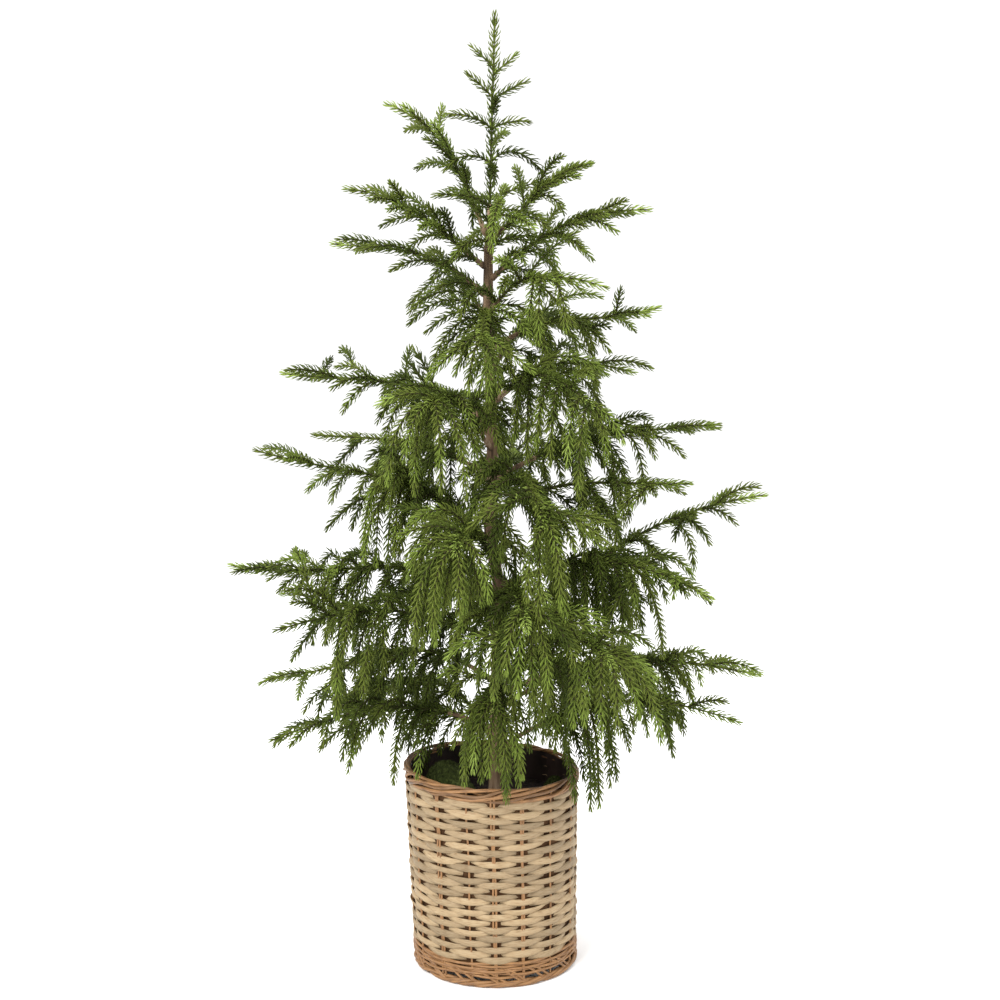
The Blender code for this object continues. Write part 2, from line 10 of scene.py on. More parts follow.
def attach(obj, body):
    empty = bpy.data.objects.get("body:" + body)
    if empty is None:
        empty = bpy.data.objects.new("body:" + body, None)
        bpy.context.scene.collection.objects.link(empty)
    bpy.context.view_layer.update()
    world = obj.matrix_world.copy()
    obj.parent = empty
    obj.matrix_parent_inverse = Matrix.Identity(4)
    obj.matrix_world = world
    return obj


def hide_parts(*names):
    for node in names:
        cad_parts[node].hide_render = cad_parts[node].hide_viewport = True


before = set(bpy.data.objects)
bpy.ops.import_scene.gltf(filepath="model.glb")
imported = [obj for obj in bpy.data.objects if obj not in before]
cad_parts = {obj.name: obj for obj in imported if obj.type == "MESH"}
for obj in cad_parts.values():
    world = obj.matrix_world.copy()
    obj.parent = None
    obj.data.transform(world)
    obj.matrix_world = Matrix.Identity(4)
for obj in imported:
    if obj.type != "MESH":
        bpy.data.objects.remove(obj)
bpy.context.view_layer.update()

# ------------ sizes shared with the solids

HEIGHT = 1.22  # floor to the tip of the leader
GAP = 0.0003  # between pieces that touch

BASKET_HEIGHT = 0.262
FOOT_RADIUS = 0.107  # outside of the wall at the foot
MOUTH_RADIUS = 0.1135  # outside of the wall under the rim
WALL = 0.006
WALL_BOTTOM = 0.03
BASKET_LEAN = -0.0057  # sideways shift of the mouth
RIM_DROP = 0.0045  # the rim is this much lower at its right edge
RIM_BAND = 0.019  # height of the band of canes round the mouth
RIM_THICKNESS = 0.01

SOIL = 0.216  # top of the dark filling
# azimuth, distance from the axis, half sizes across and along the wall, top height
MOSS = {"moss_left": (218, 0.066, 0.032, 0.05, 0.254), "moss_right": (8, 0.08, 0.017, 0.024, 0.241)}

TRUNK_TOP = 0.985
# height, x, y of the bends of the trunk and the leader
TRUNK_BENDS = [
    (0.216, 0.0, 0.0), (0.3, 0.001, -0.002), (0.39, 0.003, 0.002), (0.48, 0.006, 0.003),
    (0.577, -0.007, -0.002), (0.674, -0.004, 0.002), (0.865, -0.009, 0.0), (0.985, -0.0067, 0.001),
    (1.22, 0.0, 0.0),
]
# height, radius
TRUNK_GIRTH = [
    (0.216, 0.013), (0.226, 0.0104), (0.25, 0.0094), (0.55, 0.0082), (0.88, 0.0068), (0.985, 0.0036),
]
BOUGH_GIRTH = (0.0036, 0.0025)
BOUGH_SWEEP = 0.42  # how far the two ends' directions carry along a bough, as a share of it

NEEDLE = 0.0074  # how far needles stand out from the axis of their twig
FORK_SPACING = (0.038, 0.06)  # between pairs of side twigs, high up and low down
FIRST_FORK = 0.014  # past the bare wood
END_LENGTH = 0.072  # of a bough past its last fork
STAGGER = 0.003  # of the two twigs of a fork along their bough
SPLAY = (42, 58)  # degrees between a twig and its bough
ROLL = 85  # degrees either way round the bough
TWIG_LENGTH = (0.058, 0.026, 0.036)  # at the tip, more near the trunk, more again low down
TWIG_DROOP = (-4, 40)  # turn per metre at the tip, and more near the trunk
LENGTH_SPREAD = (0.85, 1.15)
DROOP_SPREAD = (0.6, 1.2)

SIGHT = 0.004  # either way along a line, where its direction is measured
SAMPLE = 0.006  # spacing of the points at which clearances are measured
TRIES = 5  # for a twig that would touch another
SHORT_TRIES = 3  # the tries after these are for a shorter twig
SHORTER = 0.8
LOW_FORKS, LOW_TWIGS, LOW_SPRAYS = (0.9, 0.25), (0.98, 0.45), (0.93, 0.3)  # where a bough's foot starts
# to count as low for each, and how much further down it counts in full
SHORT_BOUGH, SHORT_END = 0.2, 0.75  # a bough shorter than this has less of an end, by this share
TWIG_ROOM = 2 * NEEDLE + 0.0008  # between the axes of the twigs of two masses
TRUNK_ROOM = NEEDLE + 0.0105  # between the axes of a twig and the trunk
OWN_ROOM = 0.0115  # between a twig's outer half and its own bough
ENDS_ROOM = 0.012  # between the outer halves of one bough's twigs
RIM_ROOM = (0.097, 0.1275, 0.277)  # inner and outer radius and top of the ring kept free of twigs
SOIL_ROOM = (0.11, 0.01)  # radius and height of the space kept free over the filling

LEADER_PAIRS = 5
LEADER_FIRST = 1.146  # height of the leader's top pair of twigs
LEADER_SPACING = 0.0365
LEADER_LENGTH = (0.042, 0.04)  # of its top twigs, and more lower down
LEADER_DROOP = 36
LEADER_SHIFT, LEADER_TURN = 0.006, 40  # the most that a twig is off its place, and its heading off its side
LEADER_RISE = (15, 42)
LEADER_SPREAD = (0.85, 1.2)
LEADER_SEED = 206

# foot height, azimuth, reach, tip height, rise at the foot, rise at the tip, bare length, seed; then the
# numbers of its finer twigs, chosen so that the crown is open where the real one is and full where it is
BOUGHS = {
    "left_1": (0.948, 165, 0.145, 1.11, 66, 19, 0, 19, (32, 132, 189, 1322)),
    "right_1": (0.941, 8, 0.125, 1.035, 39, 11, 0, 151, (228, 668, 966, 1037)),
    "front_1": (0.926, 274, 0.11, 0.98, 34, -11, 0, 10, (509, 1110)),
    "back_1": (0.916, 84, 0.14, 1.01, 40, -2, 0, 199, ()),
    "left_2": (0.907, 191, 0.19, 1.0, 36, 4, 0, 186, (468, 764, 841, 988, 1244)),
    "right_2": (0.892, 354, 0.195, 0.975, 44, -1, 0, 277, (972, 1006, 1421, 1472, 1474)),
    "left_3": (0.872, 169, 0.215, 0.935, 45, 6, 0, 387, ()),
    "front_2": (0.851, 299, 0.15, 0.885, 34, -17, 0, 316, (157, 166, 418, 1040, 1501)),
    "back_2": (0.841, 119, 0.18, 0.915, 37, 8, 0, 174, (56, 683)),
    "front_3": (0.823, 265, 0.195, 0.815, 43, -12, 0, 153, (189, 206, 387, 482, 644, 716, 720, 744, 1327,
      1510)),
    "right_3": (0.805, 2, 0.21, 0.855, 34, 17, 0.03, 99, (27, 448, 455, 585, 611, 771, 1350, 1412, 1444)),
    "back_3": (0.773, 68, 0.225, 0.845, 38, 3, 0.03, 278, (0, 203, 235, 660, 705, 754, 883, 965, 1007,
      1519, 1598)),
    "right_4": (0.736, 33, 0.225, 0.765, 38, -14, 0.03, 225, (35, 187, 411, 487, 703, 836, 1130, 1242,
      1249, 1365, 1469, 1587)),
    "front_4": (0.732, 298, 0.24, 0.745, 38, -22, 0.03, 170, (490, 526, 702, 786, 944, 969, 988, 1038,
      1099, 1128, 1345, 1544, 1554)),
    "left_4": (0.712, 172, 0.28, 0.77, 35, 8, 0.03, 258, (99, 139, 149, 179, 273, 399, 765, 807, 822,
      826, 951, 956, 1419, 1473, 1533, 1573)),
    "back_4": (0.688, 111, 0.265, 0.74, 28, 2, 0.03, 92, (4, 73, 82, 323, 515, 649, 658, 755, 794, 809,
      942, 1000, 1008, 1060, 1263, 1294)),
    "front_5": (0.678, 249, 0.22, 0.745, 32, -17, 0.03, 179, (35, 82, 282, 290, 330, 340, 443, 539, 720,
      1051, 1134, 1139, 1258, 1277)),
    "left_5": (0.644, 160, 0.26, 0.685, 26, 2, 0.04, 194, (13, 143, 352, 551, 613, 647, 663, 677, 894,
      974, 990, 1135, 1211, 1308, 1443, 1484, 1570)),
    "right_5": (0.638, 13, 0.305, 0.7, 29, 3, 0.045, 277, (37, 187, 191, 199, 233, 236, 238, 244, 330,
      601, 746, 763, 773, 787, 795, 835, 954, 1142, 1193, 1288)),
    "front_6": (0.603, 281, 0.3, 0.615, 31, -31, 0.04, 299, (6, 45, 88, 142, 154, 155, 191, 235, 305,
      306, 383, 406, 663, 934, 1066, 1236, 1262, 1352, 1356, 1418, 1455, 1471)),
    "right_6": (0.595, 334, 0.265, 0.645, 32, 5, 0.04, 39, (25, 120, 282, 515, 660, 679, 787, 867, 1011,
      1177, 1183, 1207, 1451, 1483)),
    "back_6": (0.58, 84, 0.325, 0.63, 35, -11, 0.04, 85, (69, 97, 115, 175, 226, 329, 383, 402, 589, 631,
      731, 763, 872, 912, 1089, 1156, 1167, 1170, 1171, 1265, 1268, 1292, 1395, 1543)),
    "left_6": (0.563, 199, 0.31, 0.685, 48, 19, 0.045, 361, (179, 205, 223, 323, 351, 381, 404, 483, 518,
      551, 556, 585, 738, 778, 958, 967, 1114, 1335, 1377, 1478, 1532, 1595, 1598)),
    "front_7": (0.527, 262, 0.32, 0.59, 23, -18, 0.04, 373, (195, 244, 288, 289, 400, 443, 471, 512, 561,
      703, 712, 739, 787, 814, 922, 931, 950, 953, 970, 1140, 1194, 1241, 1346, 1549)),
    "right_8": (0.501, 329, 0.305, 0.51, 23, -24, 0.045, 160, (3, 176, 200, 220, 255, 375, 376, 540, 600,
      639, 735, 741, 810, 889, 962, 1049, 1232, 1311, 1360, 1390, 1592)),
    "left_7": (0.483, 175, 0.35, 0.52, 31, 11, 0.05, 258, (131, 199, 215, 223, 349, 435, 541, 559, 603,
      616, 663, 680, 736, 787, 803, 845, 1020, 1091, 1226, 1306, 1372, 1374, 1387, 1411, 1549)),
    "right_7": (0.448, 2, 0.35, 0.615, 34, 8, 0.05, 397, (15, 31, 57, 175, 331, 343, 535, 551, 563, 682,
      767, 999, 1173, 1211, 1220, 1232, 1276, 1311, 1361, 1389, 1395, 1399, 1420, 1477, 1555, 1567,
      1571)),
    "front_8": (0.431, 276, 0.345, 0.51, 40, -21, 0.05, 390, (49, 102, 111, 127, 249, 283, 398, 409, 454,
      478, 530, 571, 617, 666, 886, 907, 1033, 1173, 1174, 1199, 1250, 1369, 1413, 1475, 1486, 1532)),
    "back_7": (0.425, 108, 0.345, 0.455, 36, -5, 0.05, 386, (121, 213, 380, 401, 423, 466, 476, 521, 619,
      687, 769, 871, 916, 978, 1135, 1196, 1227, 1233, 1234, 1286, 1401, 1419, 1497, 1565)),
    "left_8": (0.427, 209, 0.305, 0.47, 28, -11, 0.05, 11, (203, 367, 393, 467, 527, 698, 721, 744, 799,
      829, 968, 1141, 1173, 1204, 1275, 1287, 1315, 1471, 1474, 1534, 1546, 1576)),
    "front_9": (0.379, 294, 0.33, 0.46, 24, -23, 0.05, 186, (58, 61, 333, 538, 551, 560, 572, 799, 900,
      946, 956, 991, 1021, 1038, 1062, 1098, 1114, 1137, 1145, 1146, 1236, 1324, 1437, 1581)),
    "left_9": (0.373, 156, 0.35, 0.34, 31, -8, 0.05, 263, (39, 91, 119, 239, 367, 459, 481, 500, 515,
      524, 538, 546, 683, 850, 942, 985, 994, 1143, 1199, 1232, 1341, 1353, 1435, 1536, 1539)),
    "right_9": (0.358, 0, 0.345, 0.38, 25, -11, 0.05, 397, (82, 117, 130, 144, 300, 309, 313, 398, 431,
      696, 703, 728, 770, 784, 822, 895, 970, 998, 1052, 1133, 1137, 1211, 1234, 1523)),
    "back_8": (0.337, 40, 0.315, 0.35, 19, -12, 0.05, 253, (63, 112, 144, 225, 226, 460, 487, 644, 655,
      659, 733, 820, 825, 882, 975, 1112, 1147, 1198, 1455, 1535, 1543)),
    "front_10": (0.341, 270, 0.19, 0.38, 33, -36, 0.04, 208, (10, 150, 323, 590, 700, 793, 802, 1034,
      1102, 1225, 1274, 1314, 1571)),
    "left_10": (0.312, 196, 0.295, 0.315, 27, -18, 0.05, 264, (275, 438, 491, 509, 530, 624, 647, 719,
      751, 1017, 1160, 1187, 1243, 1275, 1291, 1373, 1454, 1463, 1530)),
    "right_10": (0.288, 344, 0.32, 0.34, 34, -17, 0.05, 231, (279, 323, 510, 534, 598, 657, 659, 858,
      865, 874, 896, 959, 1126, 1319, 1378, 1527, 1555)),
    "back_9": (0.294, 121, 0.295, 0.31, 35, -12, 0.04, 92, (142, 198, 218, 220, 342, 436, 683, 759, 832,
      899, 1007, 1067, 1127, 1135, 1203, 1249, 1280, 1294, 1399, 1512, 1585)),
}

# ------------ sizes of the finer work

FINE_SEED = 4100
FINE_START, FINE_BARE = 0.018, 0.3  # from a bough's foot to its first finer twig, and a share of its bare
# length more
FINE_LEAST = 0.4  # share of the bare length that only ropes may grow from
FINE_END = 0.03  # from a bough's last finer twig to its tip
FINE_LENGTH = (0.85, 1.25)  # as a share of the twigs of the solids
MORE_LIMP = 1.6  # the most that a low finer twig hangs more than a twig of the solids
HANG = 20  # turn per metre that limpness adds by itself
SPRIG_EVERY = 4  # every fourth finer twig grows on a twig
SPRIG_LENGTH = (0.03, 0.052)
SPRIG_MORE = 0.5  # the share by which a low sprig is longer
SPRIG_RISE = 20  # of the random direction that a sprig is square to, in degrees
SPRIG_SHARE = (0.2, 0.6)  # how far along its twig a sprig grows
SPRIG_DROOP = (8, 26)
ROPE_EVERY = 4  # and as many hang as long ropes
ROPE_LENGTH = (0.05, 0.088)
ROPE_MORE = 0.08  # the most that a low rope is longer
ROPE_SPLAY = (8, 58)
ROPE_DROOP = (22, 48)
ROPE_END = 0.004  # from a bough's last rope to its tip

WHORL = 0.0064  # along the twig from one ring of needles to the next
WHORL_NEEDLES = 6
NEEDLE_LENGTH = 0.0138
NEEDLE_WIDTH = 0.002
NEEDLE_ANGLES = (42, 19)  # from the twig's axis, of a needle's lower and upper part
NEEDLE_SPREAD = (0.93, 1.06)  # of its length
PLACE_SPREAD, TURN_SPREAD, ANGLE_SPREAD = 0.00022, 0.06, 2.5  # in metres, radians and degrees
NEEDLE_ENDS = (0.0025, 0.006)  # from a twig's foot to its first whorl, and from its last to its tip
NEEDLE_FOOT = 0.0006  # from the twig's axis
NEEDLE_HALVES = (0.4, 0.5)  # of its width, at its foot and its knee
NEEDLE_FLAT = 0.8  # its thickness as a share of its width
NEEDLE_PAST = 0.003  # the most that a needle reaches past its twig's tip
KNEE = 0.64  # how far along a needle it turns in
# share of its angles that a needle keeps at a twig's tip, the length for one whole share more, the least
TIP_CLOSING = (0.2, 0.042, 0.3)
FOOT_OPENING = (0.62, 0.025)  # the same for its length at the twig's foot
SPARSE_END = 0.015  # of a twig, which has only every other needle
SPRAY = 0.023  # length of twig whose needles share a shade
# freshness by itself; lost low down, as painted shade of the lower crown; gained along the twig, as fresh
# growth is paler; and gained out on the bough, partly as younger growth and partly as less painted shade;
# its spread from spray to spray and from twig to twig; and where each shade passes to the next
FRESHNESS_AND_PAINTED_SHADE = (0.31, 0.11, 0.26, 0.34)
LUCK = (0.08, 0.13)
SHADE_STEPS = (0.3, 0.5, 0.7, 0.99)
PALE_ENDS = (0.62, 0.88)  # chance that a bough's end is pale, and how far out its pale needles start
PALE_TWIGS = (0.015, 0.66)  # the same for a twig
BOUGH_OUT, LEADER_OUT = 0.55, 0.1  # how far out a bough's and the leader's own needles count
STEM_POINTS = 7  # a line with more points is a bough or the leader, not a twig
NEEDLE_SEED = 77
MOST_NEEDLES = 21000  # in one piece
TWIG_GIRTH = (0.0015, 0.0007)
STEM_TIP = 0.001  # radius of a bough's tip

BARK_DEPTH = 0.0004  # room that the trunk's girth gives to the bark's relief
BARK_FIBRES = (420, 46, 0.00055)  # to a metre round the limb and along it, and their depth
BARK_SPLITS = (150, 20, 0.00085)
TRUNK_SIDES = 30
TRUNK_STEP = 0.0026
BOUGH_SIDES = 14
BOUGH_STEP = 0.003
BOUGH_BARK = 0.55  # depth of its relief as a share of the trunk's
LEAST_BARE = 0.016  # of a bough's wood
BARE_MORE = 0.012  # of the wood that goes on into the needles
BOUGH_SINK = 0.35  # how far out of the trunk's axis a bough's wood starts, as a share
BOUGH_SWELL = (0.0022, 0.006)  # of a bough's foot, and the length over which it fades

STAKES = 16
STAKE_PLACES = (-61, -38, -16.5, 1.5, 20, 42, 66)  # degrees from the front, of those that are seen
ROWS = 30
STRIP_TALL = (0.0044, 0.0097)  # height of a strip where it passes behind a stake, and before one
STRIP_THICK = 0.0012
STRIP_WAVE = 0.003  # how far a strip swings in and out
STRIP_CURL = 0.0019  # how far its edges lie behind its middle
STRIP_POINTS = 10  # from one stake to the next
STRIP_SNAP = 0.965  # how suddenly a strip turns from front to back; 1 would be a zigzag
STRIP_STRENGTH = (0.74, 1.1)
STRIP_DRIFT = (0.0009, 0.001)  # spread of a strip's height and of its lean from stake to stake
# depth and height of the corners of a strip's section, in thicknesses and heights
STRIP_SECTION = (
    (-0.5, -0.32), (-0.5, 0.32), (-0.15, 0.5), (0.32, 0.5), (0.5, 0.3), (0.5, -0.3), (0.32, -0.5),
    (-0.15, -0.5),
)
TONES = {"pale": (1.2, 0.4), "plain": (1.0, 0.38), "dull": (0.8, 0.22)}  # and the share of rows of each
STAKE_GIRTH = 0.0014
TWIN_STAKES = 0.4  # share of the stakes that are two canes side by side
WEAVE_GAP_SHADE_DEPTH = 0.0016  # of the dark sheet behind the middle of the weave, which paints the shade in its gaps
LINER_BOTTOM = WALL_BOTTOM - 0.016
LINER_TOP = 0.257
RIM_CANES = 8
RIM_TURNS = 3
RIM_GIRTH = 0.0021
BAND_CANES = 6  # thin canes round the foot of the wall
BAND_GIRTH = 0.0018
BAND_SPAN = (0.0138, 0.0335)
BORDER_CANES = 4  # canes that wind round each other on the floor
BORDER_TURNS = 7
BORDER_GIRTH = 0.0023
BORDER_SIZE = (0.005, 0.0048)  # half width and half height of the border
BORDER_SWEEP = 24  # degrees that a cane from each stake sweeps on its way down to the border
SWEEP_TOP = 0.025  # where it starts
WALL_SEED, RIM_SEED, FOOT_SEED = 31, 12, 8

MORE_MOSS = (190, 0.064, 0.034, 0.047, 0.271)  # beside the left mound, as the mounds of the solids
MOSS_SEEDS = {"moss_left": 3, "moss_right": 5, "moss_more": 8}
MOSS_TUFTS = 2600  # at most, on one mound
TUFT_LENGTH = (0.0012, 0.003)
TUFT_WIDTH = 0.001

# linear colours
SHADES = ("deep", "dark", "mid", "fresh", "tip")
# the deeper greens fall to needles low down and near the trunk, partly as painted shade
GREENS = (
    (0.036, 0.051, 0.0075), (0.061, 0.084, 0.0125), (0.095, 0.121, 0.02), (0.126, 0.172, 0.028),
    (0.205, 0.272, 0.056),
)


# ------------ curves in space

def unit(vector):
    return vector / np.linalg.norm(vector)


def units(vectors):
    return vectors / np.linalg.norm(vectors, axis=-1, keepdims=True)


def heading(azimuth, rise):
    """Unit vector at an azimuth and a rise above level, both in degrees."""
    a, e = radians(azimuth), radians(rise)
    return np.array([cos(a) * cos(e), sin(a) * cos(e), sin(e)])


def smooth_table(rows, height):
    """The values at a height on a smooth curve through rows of (height, value, ...)."""
    table = np.array(rows)
    height = min(max(height, table[0, 0]), table[-1, 0])
    k = min(int(np.searchsorted(table[:, 0], height, side="right")) - 1, len(table) - 2)
    before, after = max(k - 1, 0), min(k + 2, len(table) - 1)
    span = table[k + 1, 0] - table[k, 0]
    u = (height - table[k, 0]) / span
    slope_a = (table[k + 1] - table[before]) / (table[k + 1, 0] - table[before, 0])
    slope_b = (table[after] - table[k]) / (table[after, 0] - table[k, 0])
    value = (2 * u**3 - 3 * u**2 + 1) * table[k] + (3 * u**2 - 2 * u**3) * table[k + 1]
    value = value + (u**3 - 2 * u**2 + u) * span * slope_a + (u**3 - u**2) * span * slope_b
    return value[1:]


def trunk_centre(height):
    x, y = smooth_table(TRUNK_BENDS, height)
    return np.array([x, y, height])


def trunk_radius(height):
    heights, radii = np.array(TRUNK_GIRTH).T
    return float(np.interp(height, heights, radii))


def distances(line):
    """Distance of each point of a line from its start."""
    steps = np.linalg.norm(np.diff(line, axis=0), axis=1)
    return np.concatenate([[0], np.cumsum(steps)])


def point_on(line, distance, values=None):
    """The place on a line at one or more distances from its start, or values given along it there."""
    s = distances(line)
    values = line if values is None else values
    return np.stack([np.interp(distance, s, column) for column in values.T], axis=-1)


def direction_on(line, distance):
    return unit(point_on(line, distance + SIGHT) - point_on(line, distance - SIGHT))


def cut(line, start, end, step):
    """The stretch of a line from start to end, with a point about every step."""
    count = max(2, int(round((end - start) / step)) + 1)
    return point_on(line, np.linspace(start, end, count))


def spaced(line):
    return cut(line, 0, distances(line)[-1], SAMPLE)


def turned(vector, towards, angle):
    """A unit vector turned by an angle towards another, square to it."""
    return cos(angle) * vector + sin(angle) * towards


def fanned(vectors, towards, angles):
    """The same for arrays of vectors and angles."""
    return np.cos(angles)[:, None] * vectors + np.sin(angles)[:, None] * towards


def nearest(points, others):
    """Least distance from any of the points to any of the others."""
    return float(np.sqrt(((points[:, None] - others[None])**2).sum(2).min()))


def walk(start, direction, length, droop, steps=4):
    """A limb that sets off along a direction and is turned down by its own weight."""
    line = [start]
    step = length / steps
    for _ in range(steps):
        line.append(line[-1] + direction * step)
        direction = unit(direction + np.array([0, 0, -droop * step]))
    return np.array(line)


def rounded(line, step=0.004):
    """A smooth curve through a line's points, with a point about every step."""
    p = np.concatenate([[2 * line[0] - line[1]], line, [2 * line[-1] - line[-2]]])
    per = max(2, int(ceil(distances(line)[-1] / step / (len(line) - 1))))
    u = (np.arange(per) / per)[:, None, None]
    a, b, c, d = p[:-3], p[1:-2], p[2:-1], p[3:]
    curve = 0.5 * (2 * b + (c - a) * u + (2 * a - 5 * b + 4 * c - d) * u**2 + (3 * b - a - 3 * c + d) * u**3)
    return np.concatenate([curve.transpose(1, 0, 2).reshape(-1, 3), line[-1:]])


# ------------ the solids' branching rule

def clear_of_pot(points):
    """True where a twig keeps out of the basket's rim and wall, the filling and the moss."""
    x, y, z = points.T
    r = np.hypot(x, y)
    blocked = (r > RIM_ROOM[0]) & (r < RIM_ROOM[1]) & (z < RIM_ROOM[2])
    blocked |= (r < SOIL_ROOM[0]) & (z < SOIL + SOIL_ROOM[1])
    for azimuth, distance, _, length, top in MOSS.values():
        centre = heading(azimuth, 0) * distance
        over = np.hypot(x - centre[0], y - centre[1]) < length + NEEDLE
        blocked |= over & (z < top + NEEDLE + 0.001)
    return not blocked.any()


def bark_point(height, out):
    """The place just clear of the bark where a bough sets off, however the trunk leans there."""
    centre = trunk_centre(height)
    edges = [trunk_centre(height + step) - centre for step in (-BOUGH_GIRTH[0], BOUGH_GIRTH[0])]
    lean = max(float(np.dot(edge, out)) for edge in edges)
    return centre + out * (trunk_radius(height) + GAP + lean)


def bough_line(row, count=25):
    """The curve of a bough from the trunk's bark to the bough's furthest tip."""
    foot, azimuth, reach, tip, rise, level = row[:6]
    out = heading(azimuth, 0)
    start = bark_point(foot, out)
    end = out * reach + np.array([0, 0, tip])
    arm = np.linalg.norm(end - start) * BOUGH_SWEEP
    a = start + heading(azimuth, rise) * arm
    b = end - heading(azimuth, level) * arm
    t = np.linspace(0, 1, count)[:, None]
    return (1 - t)**3 * start + 3 * (1 - t)**2 * t * a + 3 * (1 - t) * t**2 * b + t**3 * end


def lowness(row, top, span):
    """0 for boughs that start above a height, up to 1 for those that start a span below it."""
    return min(1, max(0, (top - row[0]) / span))


def fork_places(row, line):
    """Distances along a bough of its forks, the outermost first."""
    total = distances(line)[-1]
    spacing = FORK_SPACING[0] + (FORK_SPACING[1] - FORK_SPACING[0]) * lowness(row, *LOW_FORKS)
    first = row[6] + FIRST_FORK
    last = total - END_LENGTH * (SHORT_END if total < SHORT_BOUGH else 1.0)
    forks = max(1, int(round((last - first) / spacing)))
    return [last - (last - first) * k / forks for k in range(forks + 1)]


def side_twig(row, line, at, side, shrink, rng, limp=1.0):
    """One twig at a fork: short and stiff near the bough's tip, long and hanging near the trunk."""
    total = distances(line)[-1]
    inner = min(1, max(0, 1 - (at - row[6] - FIRST_FORK) / (total - row[6] - FIRST_FORK)))
    low = lowness(row, *LOW_TWIGS)
    ahead = direction_on(line, at)
    lateral = unit(np.cross(ahead, [0, 0, 1]))
    roll = radians(rng.uniform(-ROLL, ROLL)) * (0.3 + 0.7 * at / total)
    angle = radians(rng.uniform(*SPLAY))
    across = side * turned(lateral, np.cross(lateral, ahead), roll)
    outermost, more, lower = TWIG_LENGTH
    length = (outermost + (more + lower * low) * inner**0.6) * rng.uniform(*LENGTH_SPREAD) * shrink
    stiff, hanging = TWIG_DROOP
    droop = (stiff + hanging * inner**0.8 * (0.4 + 0.6 * low)) * rng.uniform(*DROOP_SPREAD)
    droop = droop * limp + (limp - 1) * HANG * low
    return walk(point_on(line, at + side * STAGGER), turned(ahead, across, angle), length, droop)


def outer_half(twig):
    points = spaced(twig)[1:]
    return points[len(points) // 2:]


def fits(twig, own, twigs, others):
    """True where a twig keeps clear of all other limbs, and its outer half of its own mass."""
    points, outer = spaced(twig)[1:], outer_half(twig)
    if not clear_of_pot(points) or nearest(points, TRUNK_LINE) < TRUNK_ROOM:
        return False
    if nearest(points, others) < TWIG_ROOM or nearest(outer, own) <= OWN_ROOM:
        return False
    return not twigs or nearest(outer, np.concatenate([outer_half(t) for t in twigs])) > ENDS_ROOM


def grow(line, seed, places, draw, others):
    """A line, and for each place along it the first of a few tries at a side twig that fits."""
    rng = default_rng(seed)
    own, twigs = spaced(line), []
    for place in places:
        for attempt in range(TRIES):
            twig = draw(place, attempt, rng)
            if fits(twig, own, twigs, others):
                twigs.append(twig)
                break
    return line, twigs


def grow_bough(row, others):
    """A bough's line and its side twigs, by its own seed."""
    line = bough_line(row)
    places = [(at, side) for at in fork_places(row, line) for side in (-1, 1)]

    def draw(place, attempt, rng):
        return side_twig(row, line, *place, SHORTER if attempt >= SHORT_TRIES else 1.0, rng)

    return grow(line, row[7], places, draw, others)


def leader_line():
    heights = np.linspace(TRUNK_TOP + GAP, HEIGHT - 0.003, 12)
    return np.array([trunk_centre(z) for z in heights])


def leader_twig(pair, side, rng):
    """A twig of the leader: short and rising near its top, arching over lower down."""
    low = pair / (LEADER_PAIRS - 1)
    across = side in (90, 270)
    shift = rng.uniform(-LEADER_SHIFT, LEADER_SHIFT)
    at = LEADER_FIRST - LEADER_SPACING * pair + shift - 0.5 * LEADER_SPACING * across
    direction = heading(side + rng.uniform(-LEADER_TURN, LEADER_TURN), rng.uniform(*LEADER_RISE))
    length = (LEADER_LENGTH[0] + LEADER_LENGTH[1] * low**0.7) * rng.uniform(*LEADER_SPREAD)
    return walk(trunk_centre(at), direction, length, LEADER_DROOP * low**1.5 * rng.uniform(*DROOP_SPREAD))


def grow_leader(others):
    """The leader's line and its side twigs: two to a tier, and a third from the second tier down."""
    places = [(0, 180), (0, 0)]
    for pair in range(1, LEADER_PAIRS):
        places += [(pair, 180), (pair, 0), (pair, 270 if pair % 2 else 90)]
    return grow(leader_line(), LEADER_SEED, places, lambda place, _, rng: leader_twig(*place, rng), others)


def grow_all():
    """Every mass's line and twigs; each keeps clear of all lines and of the twigs grown before it."""
    lines = {name: spaced(bough_line(row)) for name, row in BOUGHS.items()}
    lines["leader"] = spaced(leader_line())
    grown, taken = {}, []
    for name in ["leader", *BOUGHS]:
        others = np.concatenate([line for key, line in lines.items() if key != name] + taken)
        grown[name] = grow_leader(others) if name == "leader" else grow_bough(BOUGHS[name], others)
        taken += [spaced(twig)[1:] for twig in grown[name][1]]
    return grown


# ------------ the finer twigs

def either_side(rng):
    return 1 if rng.random() < 0.5 else -1


def sprig(twig, low, rng):
    """A small twig that forks from a twig."""
    at = distances(twig)[-1] * rng.uniform(*SPRIG_SHARE)
    ahead = direction_on(twig, at)
    lateral = unit(np.cross(ahead, heading(rng.uniform(0, 360), SPRIG_RISE)))
    direction = turned(ahead, lateral, radians(rng.uniform(*SPLAY)))
    length = rng.uniform(*SPRIG_LENGTH) * (1 + SPRIG_MORE * low)
    return walk(point_on(twig, at), direction, length, SPRIG_DROOP[0] + SPRIG_DROOP[1] * low * rng.uniform())


def place_on(row, line, end, rng):
    """A place on a bough for a finer twig, up to some way from its tip."""
    total = distances(line)[-1]
    return rng.uniform(min(FINE_START + FINE_BARE * row[6], FINE_BARE * total), total - end)


def rope(row, line, low, rng):
    """A long twig that leaves its bough to one side and hangs down in a curve."""
    at = place_on(row, line, ROPE_END, rng)
    ahead = direction_on(line, at)
    lateral = unit(np.cross(ahead, [0, 0, 1]))
    angle = radians(rng.uniform(*ROPE_SPLAY)) * either_side(rng)
    length = rng.uniform(*ROPE_LENGTH) + ROPE_MORE * low * rng.uniform()
    return walk(point_on(line, at), turned(ahead, lateral, angle), length, rng.uniform(*ROPE_DROOP), 6)


